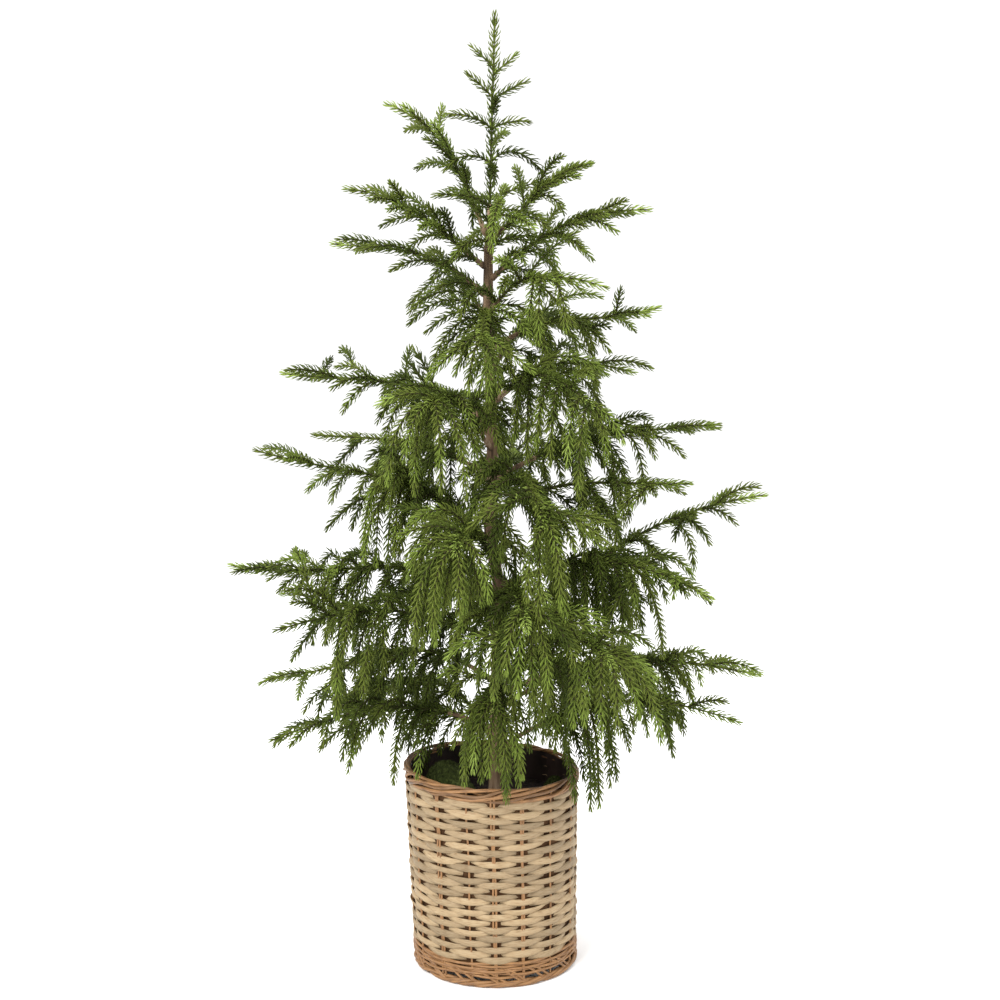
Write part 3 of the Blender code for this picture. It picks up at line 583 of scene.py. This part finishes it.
def finer_twig(row, line, twigs, number):
    """One numbered twig of the finer work, which grows by the rule of the solids' twigs."""
    rng = default_rng([FINE_SEED, row[7], number])
    low = lowness(row, *LOW_SPRAYS)
    if number % SPRIG_EVERY == SPRIG_EVERY - 1 and twigs:
        return sprig(twigs[rng.integers(len(twigs))], low, rng)
    if number % ROPE_EVERY == ROPE_EVERY - 2:
        return rope(row, line, low, rng)
    at = max(place_on(row, line, FINE_END, rng), FINE_LEAST * row[6])
    limp = rng.uniform(1.0, 1 + MORE_LIMP * low)
    side = either_side(rng)
    return side_twig(row, line, at, side, rng.uniform(*FINE_LENGTH), rng, limp)


def grow_fine(grown):
    """All needle-clad lines: a list of (line, bare length, how far out on its bough, name)."""
    ropes = []
    for name, (line, twigs) in grown.items():
        row = BOUGHS.get(name)
        ropes.append((line, row[6], BOUGH_OUT, name) if row else (line, 0.0, LEADER_OUT, name))
        finer = [finer_twig(row, line, twigs, number) for number in row[8]] if row else []
        total = distances(line)[-1]
        for twig in twigs + finer:
            out = distances(line)[np.linalg.norm(line - twig[0], axis=1).argmin()] / total
            ropes.append((twig, 0.0, out, name))
    return ropes


# ------------ meshes from arrays

def mesh_from(name, verts, faces, uvs=None):
    """A smooth mesh of faces that all have the same number of corners."""
    mesh = bpy.data.meshes.new(name)
    count, corners = faces.shape
    mesh.vertices.add(len(verts))
    mesh.vertices.foreach_set("co", np.ascontiguousarray(verts, np.float32).ravel())
    mesh.loops.add(count * corners)
    mesh.loops.foreach_set("vertex_index", np.ascontiguousarray(faces, np.int32).ravel())
    mesh.polygons.add(count)
    mesh.polygons.foreach_set("loop_start", np.arange(0, count * corners, corners, dtype=np.int32))
    mesh.update(calc_edges=True)
    if uvs is not None:
        layer = mesh.uv_layers.new(name="UVMap")
        layer.data.foreach_set("uv", np.ascontiguousarray(uvs[faces.ravel()], np.float32).ravel())
    mesh.shade_smooth()
    return mesh


def placed(name, data):
    """An object in the scene."""
    obj = bpy.data.objects.new(name, data)
    bpy.context.scene.collection.objects.link(obj)
    return obj


def piece(name, shape, material, slot, *nodes):
    """A piece of the model: it rides on the plant, and may stand for nodes of its solids."""
    mesh = shape if isinstance(shape, bpy.types.Mesh) else mesh_from(name, *shape)
    mesh.materials.append(material)
    obj = placed(name, mesh)
    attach(obj, "root")
    if nodes:
        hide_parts(*nodes)


def nodes_of(kind):
    return [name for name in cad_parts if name.startswith(kind)]


def whole_turn(count):
    """Even angles all the way round."""
    return np.arange(count) * tau / count


def quads_of(rows, columns, closed=False, flipped=False):
    """Quads between rings of points, one after the other; the last ring may be joined to the first."""
    k, j = np.meshgrid(np.arange(rows if closed else rows - 1), np.arange(columns), indexing="ij")
    ahead, beside = (k + 1) % rows, (j + 1) % columns
    turns = [k * columns + j, k * columns + beside, ahead * columns + beside, ahead * columns + j]
    if flipped:
        turns = [turns[0], turns[3], turns[2], turns[1]]
    return np.stack(turns, -1).reshape(-1, 4)


def frames(line):
    """Direction and two square directions at each point of a line, turning as little as they can."""
    ahead = units(np.gradient(line, axis=0))
    side = np.cross(ahead[0], [0.31, 0.53, 0.79])
    sides = []
    for direction in ahead:
        side = unit(side - direction * np.dot(side, direction))
        sides.append(side)
    sides = np.array(sides)
    return ahead, sides, np.cross(ahead, sides)


def tube(line, radii, sides, closed=False):
    """Vertices, quads and UVs of a tube; its UVs run along it, and a little way across for each half."""
    _, right, up = frames(line)
    count = len(line)
    spoke = fanned(right[:, None], up[:, None], whole_turn(sides))
    verts = line[:, None] + spoke * np.broadcast_to(radii, (count,))[:, None, None]
    along = np.repeat(distances(line), sides)
    around = np.tile(np.abs(np.arange(sides) / sides - 0.5) * 0.01, count)
    return verts.reshape(-1, 3), quads_of(count, sides, closed), np.stack([along, around], -1)


def join(parts):
    """One set of vertices, faces and UVs from several."""
    verts, faces, uvs = zip(*parts)
    firsts = np.cumsum([0] + [len(v) for v in verts])
    faces = [f + first for f, first in zip(faces, firsts)]
    return np.concatenate(verts), np.concatenate(faces), np.concatenate(uvs)


# ------------ materials

def toned(colour, tone):
    return tuple(c * tone for c in colour)


# of each kind of material: linear colour, roughness, specular; its grain, a fine noise (scale, stretch,
# detail, and UV where it follows a cane); the stops of colour that the grain picks from; and, where it
# also sets roughness and relief, the span of the one and the depth and strength of the other
EVEN, UPRIGHT = (1, 1, 1), (1, 1, 0.4)
KINDS = {
    "bark": (
        (0.145, 0.09, 0.055), 0.85, 0.2, (95.0, (1, 1, 0.16), 6.0),
        [(0.36, (0.034, 0.02, 0.011)), (0.5, (0.125, 0.08, 0.045)), (0.66, (0.26, 0.185, 0.12))],
        (0.7, 0.95), (0.0012, 1.0)),
    "twig_bark": (
        (0.03, 0.034, 0.01), 0.8, 0.1, (260.0, EVEN, 4.0),
        [(0.3, (0.02, 0.026, 0.006)), (0.7, (0.05, 0.044, 0.018))], None, (0.0004, 1.0)),
    "willow": (     # peeled and flat: pale, with long fibres and a few stains along the strip
        (0.33, 0.256, 0.158), 0.6, 0.3, (1.0, (90, 1500, 1), 5.0, "UV"),
        [(0.3, (0.15, 0.092, 0.044)), (0.46, (0.275, 0.194, 0.106)), (0.72, (0.33, 0.256, 0.158))],
        (0.48, 0.72), (0.0005, 0.6)),
    "cane": (       # orange-brown, with darker fibres and knots along it
        (0.345, 0.18, 0.068), 0.5, 0.4, (1.0, (70, 1400, 1), 5.0, "UV"),
        [(0.3, (0.085, 0.036, 0.012)), (0.5, (0.235, 0.118, 0.045)), (0.74, (0.345, 0.18, 0.068))],
        (0.4, 0.65), (0.0004, 0.5)),
    "peat": (
        (0.016, 0.009, 0.007), 0.85, 0.2, (190.0, EVEN, 8.0),
        [(0.35, (0.007, 0.004, 0.003)), (0.6, (0.02, 0.012, 0.009)), (0.8, (0.06, 0.035, 0.022))],
        None, (0.002, 1.0)),
    "liner": (
        (0.02, 0.011, 0.009), 0.5, 0.35, (60.0, UPRIGHT, 3.0),
        [(0.3, (0.01, 0.006, 0.005)), (0.75, (0.034, 0.019, 0.015))], (0.35, 0.65), (0.0015, 1.0)),
    # a dark brown for the sheet that paints the shade in the gaps of the weave
    "weave_gap_shade": (
        (0.05, 0.024, 0.011), 0.85, 0.1, (140.0, UPRIGHT, 3.0),
        [(0.3, (0.03, 0.014, 0.006)), (0.72, (0.085, 0.043, 0.02))], None, (0.0008, 1.0)),
    "moss": (
        (0.05, 0.08, 0.016), 0.95, 0.15, (240.0, EVEN, 6.0),
        [(0.3, (0.014, 0.019, 0.004)), (0.55, (0.038, 0.05, 0.011)), (0.8, (0.088, 0.104, 0.028))],
        None, (0.002, 1.0)),
    "studio_floor": (
        (0.9, 0.9, 0.9), 0.7, 0.2, (3.0, EVEN, 4.0),
        [(0.3, (0.93, 0.93, 0.93)), (0.7, (0.95, 0.95, 0.95))], None, None),
}
# semi-matte moulded plastic, finely mottled round its own plain green
for needle_word, needle_colour in zip(SHADES, GREENS):
    KINDS["needles_" + needle_word] = (
        needle_colour, 0.55, 0.07, (420.0, EVEN, 4.0),
        [(0.25, toned(needle_colour, 0.8)), (0.75, toned(needle_colour, 1.2))], (0.48, 0.66), None)


def finish(name, kind=None, tone=1.0):
    """A Principled material of the kind of its name, or of another kind in a lighter or darker tone."""
    colour, roughness, specular, grain, stops, rough_span, relief = KINDS[kind or name]
    scale, stretch, detail, *space = grain
    material = bpy.data.materials.new(name)
    material.use_nodes = True
    tree = material.node_tree
    shader = tree.nodes["Principled BSDF"]

    def node(word, **values):
        made = tree.nodes.new("ShaderNode" + word)
        for socket, value in values.items():
            made.inputs[socket.replace("_", " ")].default_value = value
        return made

    def link(source, out, target, into):
        tree.links.new(source.outputs[out], target.inputs[into])

    shader.inputs["Base Color"].default_value = (*toned(colour, tone), 1)
    shader.inputs["Roughness"].default_value = roughness
    shader.inputs["Specular IOR Level"].default_value = specular
    mapping = node("Mapping", Scale=stretch)
    texture = node("TexNoise", Scale=scale, Detail=detail)
    link(node("TexCoord"), *(space or ["Object"]), mapping, "Vector")
    link(mapping, "Vector", texture, "Vector")
    ramp = node("ValToRGB")
    while len(ramp.color_ramp.elements) < len(stops):
        ramp.color_ramp.elements.new(0.5)
    for element, (position, shade) in zip(ramp.color_ramp.elements, stops):
        element.position = position
        element.color = (*toned(shade, tone), 1)
    link(texture, "Fac", ramp, "Fac")
    link(ramp, "Color", shader, "Base Color")
    if rough_span:
        span = node("MapRange", To_Min=rough_span[0], To_Max=rough_span[1])
        link(texture, "Fac", span, "Value")
        link(span, "Result", shader, "Roughness")
    if relief:
        bump = node("Bump", Distance=relief[0], Strength=relief[1])
        link(texture, "Fac", bump, "Height")
        link(bump, "Normal", shader, "Normal")
    return material


# ------------ needles and twigs

def needles_on(line, bare, rng):
    """Needles in whorls up a line: (n, 7, 3) vertices, and each needle's share of the way along."""
    curve = rounded(line)
    total = distances(curve)[-1]
    first = bare + NEEDLE_ENDS[0]
    span = total - NEEDLE_ENDS[1] - first
    tiers = max(2, int(span / WHORL) + 1)
    tier = np.repeat(np.arange(tiers), WHORL_NEEDLES)
    count = len(tier)
    place = first + span * tier / (tiers - 1) + rng.normal(0, PLACE_SPREAD, count)
    ahead, side, up = (units(point_on(curve, place, axis)) for axis in frames(curve))
    turn = (np.tile(np.arange(WHORL_NEEDLES), tiers) + 0.5 * (tier % 2)) * tau / WHORL_NEEDLES
    turn = turn + rng.uniform(0, tau) + rng.normal(0, TURN_SPREAD, count)
    out = units(fanned(side, up, turn))
    across = np.cross(ahead, out)
    closing = np.clip(TIP_CLOSING[0] + (total - place) / TIP_CLOSING[1], TIP_CLOSING[2], 1.0)
    opening = np.clip(FOOT_OPENING[0] + (place - first) / FOOT_OPENING[1], FOOT_OPENING[0], 1.0)
    length = NEEDLE_LENGTH * rng.uniform(*NEEDLE_SPREAD, count) * opening
    length = np.minimum(length, total - place + NEEDLE_PAST)
    lower, upper = (np.radians(a + rng.normal(0, ANGLE_SPREAD, count)) * closing for a in NEEDLE_ANGLES)
    foot = point_on(curve, place) + out * NEEDLE_FOOT
    knee = foot + fanned(ahead, out, lower) * (length * KNEE)[:, None]
    verts = np.empty((count, 7, 3))
    for k, (middle, angle, width) in enumerate(zip((foot, knee), (lower, upper), NEEDLE_HALVES)):
        over = np.cross(fanned(ahead, out, angle), across)
        for j in range(3):
            a = tau * j / 3
            spoke = cos(a) * across + NEEDLE_FLAT * sin(a) * over
            verts[:, 3 * k + j] = middle + spoke * (NEEDLE_WIDTH * width)
    verts[:, 6] = knee + fanned(ahead, out, upper) * (length * (1 - KNEE))[:, None]
    kept = (place < total - SPARSE_END) | (np.arange(count) % 2 == 0)
    return verts[kept], ((place - first) / (total - first))[kept], place[kept]


def shade_of(share, place, out, low, is_bough, rng):
    """The shade of each needle, dealt out by spray: paler towards tips, as fresh growth is; darker nearer the
    trunk, partly as older growth and partly as painted shade; and darker low down, as painted shade.
    """
    spray = (place / SPRAY).astype(int)
    luck = rng.normal(0, LUCK[0], spray.max() + 1)[spray] + rng.normal(0, LUCK[1])
    base, lower, along, outward = FRESHNESS_AND_PAINTED_SHADE
    # the loss low down is painted shade, and the gain out on the bough is partly painted shade
    shade = np.digitize(base - lower * low + along * share**1.5 + outward * out + luck, SHADE_STEPS)
    chance, start = PALE_ENDS if is_bough else PALE_TWIGS
    if rng.random() < chance:
        shade[share > start] = SHADES.index("tip")
    return shade


# a needle's foot is its vertices 0 to 2, its knee 3 to 5, and its tip 6
NEEDLE_FACES = np.array([
    (0, 1, 4), (0, 4, 3), (1, 2, 5), (1, 5, 4), (2, 0, 3), (2, 3, 5), (3, 4, 6), (4, 5, 6), (5, 3, 6),
])


def make_needles(ropes):
    """Every needle of the crown, in pieces of one shade each."""
    rng = default_rng(NEEDLE_SEED)
    heap = [[] for _ in SHADES]
    for line, bare, out, name in ropes:
        verts, share, place = needles_on(line, bare, rng)
        low = lowness(BOUGHS[name], *LOW_SPRAYS) if name in BOUGHS else 1.0
        shade = shade_of(share, place, out, low, len(line) > STEM_POINTS and name in BOUGHS, rng)
        for key, parts in enumerate(heap):
            parts.append(verts[shade == key])
    for word, parts in zip(SHADES, heap):
        verts = np.concatenate(parts)
        material = finish("needles_" + word)
        chunks = max(1, ceil(len(verts) / MOST_NEEDLES))
        for k, chunk in enumerate(np.array_split(verts, chunks)):
            first = np.arange(len(chunk))[:, None, None] * 7
            shape = chunk.reshape(-1, 3), (NEEDLE_FACES[None] + first).reshape(-1, 3)
            nodes = nodes_of("foliage_") if word == "mid" and k == 0 else ()
            piece("needles_%s_%d" % (word, k + 1), shape, material, "needles", *nodes)


def make_twigs(ropes):
    """The twigs inside the needles."""
    parts = []
    for line, bare, _, name in ropes:
        curve = rounded(line, 0.01)
        stem = len(line) > STEM_POINTS and name != "leader"
        girth = (BOUGH_GIRTH[1], STEM_TIP) if stem else TWIG_GIRTH
        curve = cut(curve, bare, distances(curve)[-1] - 0.004, 0.011)
        parts.append(tube(curve, np.linspace(*girth, len(curve)), 5))
    piece("twigs", join(parts), finish("twig_bark"), "bark")


# ------------ trunk and boughs

def grooves(place, across, along, depth, shift=0):
    """Depth of the bark at a place."""
    x, y, z = place
    return depth * noise.noise(Vector((x * across + shift, y * across, z * along)))


def barked(line, radii, sides, share=1.0, taper=1.0):
    """A limb's tube with a share of the bark's relief: long fibres with a few deeper splits."""
    verts, quads, uvs = tube(line, radii, sides)
    outward = units(verts - np.repeat(line, sides, axis=0))
    shift = np.array([share * (grooves(v, *BARK_FIBRES) + grooves(v, *BARK_SPLITS, 7)) for v in verts])
    return verts + outward * (shift * taper)[:, None], quads, uvs


def make_trunk():
    """The trunk, from the filling to where the leader grows out of it."""
    heights = np.arange(SOIL, TRUNK_TOP + 0.0005, TRUNK_STEP)
    line = np.array([trunk_centre(z) for z in heights])
    radii = np.array([trunk_radius(z) - BARK_DEPTH for z in heights])
    taper = np.repeat(np.clip((TRUNK_TOP - heights) / 0.02, 0.2, 1.0), TRUNK_SIDES)
    verts, quads, uvs = barked(line, radii, TRUNK_SIDES, taper=taper)
    verts[:, 2] = np.clip(verts[:, 2], SOIL, TRUNK_TOP)
    piece("trunk_bark", (verts, quads, uvs), BARK, "bark", "trunk")
    end = np.concatenate([verts[-TRUNK_SIDES:], line[-1:]])
    fan = [(j, (j + 1) % TRUNK_SIDES, TRUNK_SIDES) for j in range(TRUNK_SIDES)]
    piece("trunk_cut", (end, np.array(fan)), BARK, "bark")


def make_boughs(grown):
    """The bare wood of every bough, with a swollen foot on the trunk."""
    parts = []
    for name, row in BOUGHS.items():
        wood = cut(grown[name][0], 0, max(row[6], LEAST_BARE) + BARE_MORE, BOUGH_STEP)
        start = trunk_centre(row[0])
        wood = np.concatenate([[start + (wood[0] - start) * BOUGH_SINK], wood])
        s = distances(wood)
        girth = np.interp(s, [0, s[-1]], BOUGH_GIRTH) + BOUGH_SWELL[0] * np.exp(-s / BOUGH_SWELL[1])
        parts.append(barked(wood, girth, BOUGH_SIDES, BOUGH_BARK))
    piece("bough_bark", join(parts), BARK, "bark", *nodes_of("bough_"))


# ------------ the basket

def leaned(verts):
    """The basket's own lean: its mouth is shifted, and its right edge a little lower."""
    verts = np.array(verts, float)
    share = np.clip(verts[:, 2] / BASKET_HEIGHT, 0, 1.05)
    verts[:, 0] += BASKET_LEAN * share
    verts[:, 2] -= RIM_DROP * verts[:, 0] / MOUTH_RADIUS * share**2
    return verts


def lean_part(verts, quads, uvs):
    """The same for the arrays of a whole part."""
    return leaned(verts), quads, uvs


def wall_radius(height):
    """Outside radius of the wall at a height."""
    return FOOT_RADIUS + (MOUTH_RADIUS - FOOT_RADIUS) * height / BASKET_HEIGHT


def around(angle, radius, height):
    """Points round the basket's axis."""
    return np.stack(np.broadcast_arrays(radius * np.cos(angle), radius * np.sin(angle), height), -1)


def middle_radius(height):
    """Radius of the middle of the wall at a height."""
    return wall_radius(height) - WALL / 2


def waves(angle, size, counts, rng):
    """Slow random waves round the basket."""
    return sum(rng.normal(0, size) * np.sin(angle * n + rng.uniform(0, tau)) for n in counts)


def cane(line, girth, sides, shift, closed=False):
    """A cane's tube, whose fibres are set apart from other canes' by a shift of its UVs."""
    verts, quads, uvs = tube(line, girth, sides, closed)
    return verts, quads, uvs + shift


def stake_angles(rng):
    seen = len(STAKE_PLACES)
    rest = np.linspace(STAKE_PLACES[-1], STAKE_PLACES[0] + 360, STAKES - seen + 2)[1:-1]
    return np.radians(np.append(STAKE_PLACES, rest) + 270) + rng.normal(0, 0.008, STAKES)


def strip(row, height, stakes, rng):
    """One flat strip woven round the stakes: in front of one, behind the next."""
    steps, count = STAKES * STRIP_POINTS, len(STRIP_SECTION)
    turn = np.arange(steps) / STRIP_POINTS

    def between(values):
        return np.interp(turn, np.arange(STAKES), values, period=STAKES)

    angle = np.interp(turn, np.arange(STAKES + 1), np.append(stakes, stakes[0] + tau))
    swing = np.arcsin(STRIP_SNAP * np.cos(pi * turn)) / asin(STRIP_SNAP) * (1 if row % 2 else -1)
    strength = between(rng.uniform(*STRIP_STRENGTH, STAKES))
    tall = STRIP_TALL[0] + (STRIP_TALL[1] - STRIP_TALL[0]) * ((1 + swing) / 2)**0.32 * strength
    bulge = 1 - 2 * ((1 - swing) / 2)**1.6
    drift, lean = (between(rng.normal(0, spread, STAKES)) for spread in STRIP_DRIFT)
    middle = middle_radius(height) + STRIP_WAVE * bulge
    verts, uvs = [], []
    for depth, share in STRIP_SECTION:
        radius = middle + depth * STRIP_THICK + lean * share * 2 - STRIP_CURL * (2 * share)**2
        verts.append(around(angle, radius, height + drift + share * tall))
        level = np.full(steps, share * 0.009 + row + depth * 0.02)
        uvs.append(np.stack([angle * 0.11 + row * 3.7, level], -1))
    quads = quads_of(steps, count, closed=True, flipped=True)
    return np.stack(verts, 1).reshape(-1, 3), quads, np.stack(uvs, 1).reshape(-1, 2)


def make_wall():
    """The wall's woven strips, in three tones dealt out by row, and the stakes that they pass."""
    rng = default_rng(WALL_SEED)
    stakes = stake_angles(rng)
    bottom, top = BAND_SPAN[1] - 0.001, BASKET_HEIGHT - RIM_BAND + 0.001
    rows = {word: [] for word in TONES}
    for row in range(ROWS):
        made = strip(row, bottom + (top - bottom) * (row + 0.5) / ROWS, stakes, rng)
        word = list(TONES)[rng.choice(len(TONES), p=[chance for _, chance in TONES.values()])]
        rows[word].append(made)
    for word, parts in rows.items():
        nodes = ("basket_wall",) if word == "plain" else ()
        material = finish("peeled_willow_" + word, "willow", TONES[word][0])
        piece("wall_strips_" + word, lean_part(*join(parts)), material, "peeled_cane", *nodes)
    parts = []
    for angle in stakes:
        for offset in ((-1, 1) if rng.random() < TWIN_STAKES else (0,)):
            height = np.linspace(0.01, BASKET_HEIGHT - 0.006, 34)
            sway = offset * 0.0013 + rng.normal(0, 0.0004) + 0.0007 * np.sin(height * 45 + angle * 3 + offset)
            radius = middle_radius(height) + 0.0007 + 0.0004 * np.sin(height * 130 + angle)
            line = around(angle + sway / FOOT_RADIUS, radius, height)
            parts.append(lean_part(*cane(line, STAKE_GIRTH * rng.uniform(0.9, 1.15), 8, [angle, 0])))
    piece("wall_stakes", join(parts), CANE, "buff_cane")


def make_rim():
    """The rolled rim: canes that wind slowly round the mouth and over each other."""
    rng = default_rng(RIM_SEED)
    centre = BASKET_HEIGHT - RIM_BAND / 2
    angle = whole_turn(220)
    parts = {"rim_canes": [], "rim_canes_dark": []}
    for k in range(RIM_CANES):
        turn = RIM_TURNS * angle + tau * k / RIM_CANES + waves(angle, 0.24, (2, 3, 5, 8), rng)
        radius = middle_radius(centre) + (RIM_THICKNESS / 2 - RIM_GIRTH) * np.cos(turn)
        line = leaned(around(angle, radius, centre + (RIM_BAND / 2 - RIM_GIRTH) * np.sin(turn)))
        made = cane(line, RIM_GIRTH * rng.uniform(0.85, 1.12), 10, k, closed=True)
        parts["rim_canes_dark" if k % 3 == 1 else "rim_canes"].append(made)
    for name, material, *nodes in (("rim_canes", CANE, "basket_rim"), ("rim_canes_dark", CANE_DARK)):
        piece(name, join(parts[name]), material, "buff_cane", *nodes)


def make_foot():
    """A close band of thin canes, a twisted border on the floor, and slanting canes between them."""
    rng = default_rng(FOOT_SEED)
    angle = whole_turn(240)
    parts = []
    for k in range(BAND_CANES):
        height = BAND_SPAN[0] + (BAND_SPAN[1] - BAND_SPAN[0]) * (k + 0.5) / BAND_CANES
        wander = waves(angle, 0.0006, (2, 3, 5), rng)
        swing = 0.0014 * np.cos(angle * STAKES / 2 + k * pi)
        line = around(angle, middle_radius(height) + 0.0008 + swing, height + wander)
        parts.append(lean_part(*cane(line, BAND_GIRTH * rng.uniform(0.85, 1.1), 8, k, closed=True)))
    middle = FOOT_RADIUS - 0.0035
    for k in range(BORDER_CANES):
        turn = BORDER_TURNS * angle + tau * k / BORDER_CANES + 1.8 * waves(angle, 0.2, (2, 3, 7), rng)
        radius = middle + (BORDER_SIZE[0] - BORDER_GIRTH) * np.cos(turn)
        height = BORDER_SIZE[1] + (BORDER_SIZE[1] - BORDER_GIRTH) * np.sin(turn)
        parts.append(cane(around(angle, radius, height), BORDER_GIRTH, 9, k, closed=True))
    t = np.linspace(0, 1, 16)
    height = SWEEP_TOP + (BORDER_GIRTH * 1.5 - SWEEP_TOP) * (3 * t**2 - 2 * t**3)
    for k, start in enumerate(stake_angles(default_rng(WALL_SEED))):
        for lag in (0.0, 0.09):
            sweep = start + lag + np.radians(BORDER_SWEEP * rng.uniform(0.8, 1.2) * t)
            line = around(sweep, middle + 0.0022 - 0.0006 * t, height)
            parts.append(cane(line, BAND_GIRTH * 0.95, 8, k))
    verts, quads, uvs = join(parts)
    verts[:, 2] = np.maximum(verts[:, 2], 0.0)
    piece("foot_canes", (verts, quads, uvs), CANE, "buff_cane", "basket_foot")


def sheet(name, rings, material):
    """A piece of thin stuff round the inside of the basket."""
    shape = leaned(np.concatenate(rings)), quads_of(len(rings), len(rings[0]))
    piece(name, shape, material, "liner")


def make_liner():
    """The dark liner inside the wall and the floor under it."""
    angle = whole_turn(96)
    rings = [around(angle, (wall_radius(0.0) - WALL - 0.003) * s, LINER_BOTTOM) for s in (0.02, 0.5, 0.9)]
    for k in range(26):
        share = k / 25
        height = LINER_BOTTOM + (LINER_TOP - LINER_BOTTOM) * share
        fold = 0.001 * np.sin(angle * 11 + share * 6) * share + 0.0006 * np.sin(angle * 29 + 2) * share
        rings.append(around(angle, wall_radius(height) - WALL - 0.0025 + fold, height))
    sheet("liner", rings, finish("liner"))


def make_weave_gap_shade():
    """A dark sheet behind the weave that shows in its gaps, painting the shade there."""
    angle = whole_turn(128)
    levels = np.linspace(BAND_SPAN[0], BASKET_HEIGHT - 0.01, 20)
    rings = [around(angle, middle_radius(level) - WEAVE_GAP_SHADE_DEPTH, level) for level in levels]
    sheet("wall_gap_shade", rings, finish("weave_gap_shade"))


def make_filling():
    """The crumbly dark filling round the trunk's foot."""
    angle = whole_turn(110)
    radii = (wall_radius(SOIL) - WALL - 0.004) * np.linspace(0.02, 1, 44)
    verts = np.concatenate([around(angle, radius, SOIL - 0.0012) for radius in radii])
    verts[:, 2] += 0.0022 * np.array([
        noise.noise(Vector((x * 90, y * 90, 3))) + 0.6 * noise.noise(Vector((x * 300, y * 300, 9)))
        for x, y, _ in verts])
    verts[:, 0] += BASKET_LEAN * SOIL / BASKET_HEIGHT
    quads = quads_of(len(radii), len(angle), flipped=True)
    piece("filling_top", (verts, quads), finish("peat"), "liner", "filling")


def make_moss(name, row, seed, *nodes):
    """A lumpy mound of moss with short tufts standing out of it."""
    azimuth, distance, across, along, top = row
    work = bmesh.new()
    bmesh.ops.create_icosphere(work, subdivisions=6, radius=1.0)
    low = [vert for vert in work.verts if vert.co.z < -0.12]
    bmesh.ops.delete(work, geom=low, context="VERTS")
    rng = default_rng(seed)
    for vert in work.verts:
        lump = noise.noise(vert.co * 2.6 + Vector((seed, 0, 0))) * 0.09 + noise.noise(vert.co * 9) * 0.035
        vert.co *= 0.93 + lump
    size = Matrix.Diagonal((across, along, top - SOIL, 1))
    turn = Matrix.Rotation(radians(azimuth), 4, "Z")
    place = Matrix.Translation(Vector((*heading(azimuth, 0)[:2] * distance, SOIL)))
    work.transform(place @ turn @ size)
    work.normal_update()
    spots = np.array([(vert.co, vert.normal) for vert in work.verts if vert.co.z > SOIL + 0.001])
    mesh = bpy.data.meshes.new(name)
    work.to_mesh(mesh)
    work.free()
    mesh.shade_smooth()
    piece(name + "_mound", mesh, MOSS_GREEN, "moss", *nodes)
    count = min(MOSS_TUFTS, len(spots))
    foot, normal = spots[rng.choice(len(spots), count, replace=False)].transpose(1, 0, 2)
    out = units(normal + rng.normal(0, 0.55, (count, 3)))
    side = units(np.cross(out, rng.normal(0, 1, (count, 3)))) * TUFT_WIDTH / 2
    tip = foot + out * rng.uniform(*TUFT_LENGTH, count)[:, None]
    blades = np.stack([foot + side, foot - side, tip], 1).reshape(-1, 3)
    piece(name + "_tufts", (blades, np.arange(count * 3).reshape(-1, 3)), MOSS_GREEN, "moss")


# ------------ camera, light and floor

CAMERA_PLACE = (0.006, -2.1, 0.8905)
CAMERA_PITCH = 0.133  # radians below level
CAMERA_LENS = 59.58  # on a sensor 36 mm wide

# place, size and power of each lamp
LAMPS = {
    "key": ((-1.5, -2.2, 2.5), 1.6, 95), "fill": ((2.2, -1.6, 1.6), 2.0, 22),
    "top": ((0.2, 0.6, 3.0), 2.2, 50),
}
LIGHT_AIM = (0, 0, 0.62)
SKY = 0.9
EXPOSURE = 0.32
FLOOR_SIZE = 12


def make_camera():
    data = bpy.data.cameras.new("camera")
    data.lens = CAMERA_LENS
    data.sensor_width = 36
    camera = placed("camera", data)
    camera.location = CAMERA_PLACE
    camera.rotation_euler = (pi / 2 - CAMERA_PITCH, 0, 0)
    bpy.context.scene.camera = camera


def soft_light(name, place, size, power):
    data = bpy.data.lights.new(name, "AREA")
    data.shape = "DISK"
    data.size = size
    data.energy = power
    light = placed(name, data)
    light.location = place
    light.rotation_euler = (Vector(LIGHT_AIM) - light.location).to_track_quat("-Z", "Y").to_euler()


def make_studio():
    """A plain pale floor, an even white sky, and large soft lamps to the left, to the right and above."""
    verts = np.array([(-1, -1, 0), (1, -1, 0), (1, 1, 0), (-1, 1, 0)]) * FLOOR_SIZE / 2
    mesh = mesh_from("studio_floor", verts, np.array([(0, 1, 2, 3)]))
    mesh.materials.append(finish("studio_floor"))
    floor = placed("studio_floor", mesh)
    for name, lamp in LAMPS.items():
        soft_light(name, *lamp)
    world = bpy.data.worlds.new("studio")
    world.use_nodes = True
    world.node_tree.nodes["Background"].inputs["Color"].default_value = (1, 1, 1, 1)
    world.node_tree.nodes["Background"].inputs["Strength"].default_value = SKY
    bpy.context.scene.world = world
    bpy.context.scene.view_settings.view_transform = "Standard"
    bpy.context.scene.view_settings.exposure = EXPOSURE


# ------------ the plant

make_camera()
TRUNK_LINE = np.array([trunk_centre(z) for z in np.arange(SOIL, TRUNK_TOP + 0.012, 0.005)])
BARK = finish("bark")
CANE = finish("buff_cane", "cane")
CANE_DARK = finish("buff_cane_dark", "cane", 0.62)
MOSS_GREEN = finish("moss")

GROWN = grow_all()
ROPES = grow_fine(GROWN)
make_needles(ROPES)
make_twigs(ROPES)
make_trunk()
make_boughs(GROWN)
make_wall()
make_rim()
make_foot()
make_liner()
make_weave_gap_shade()
make_filling()
for moss, moss_seed in MOSS_SEEDS.items():
    make_moss(moss, MOSS.get(moss, MORE_MOSS), moss_seed, *([moss] if moss in MOSS else []))
make_studio()
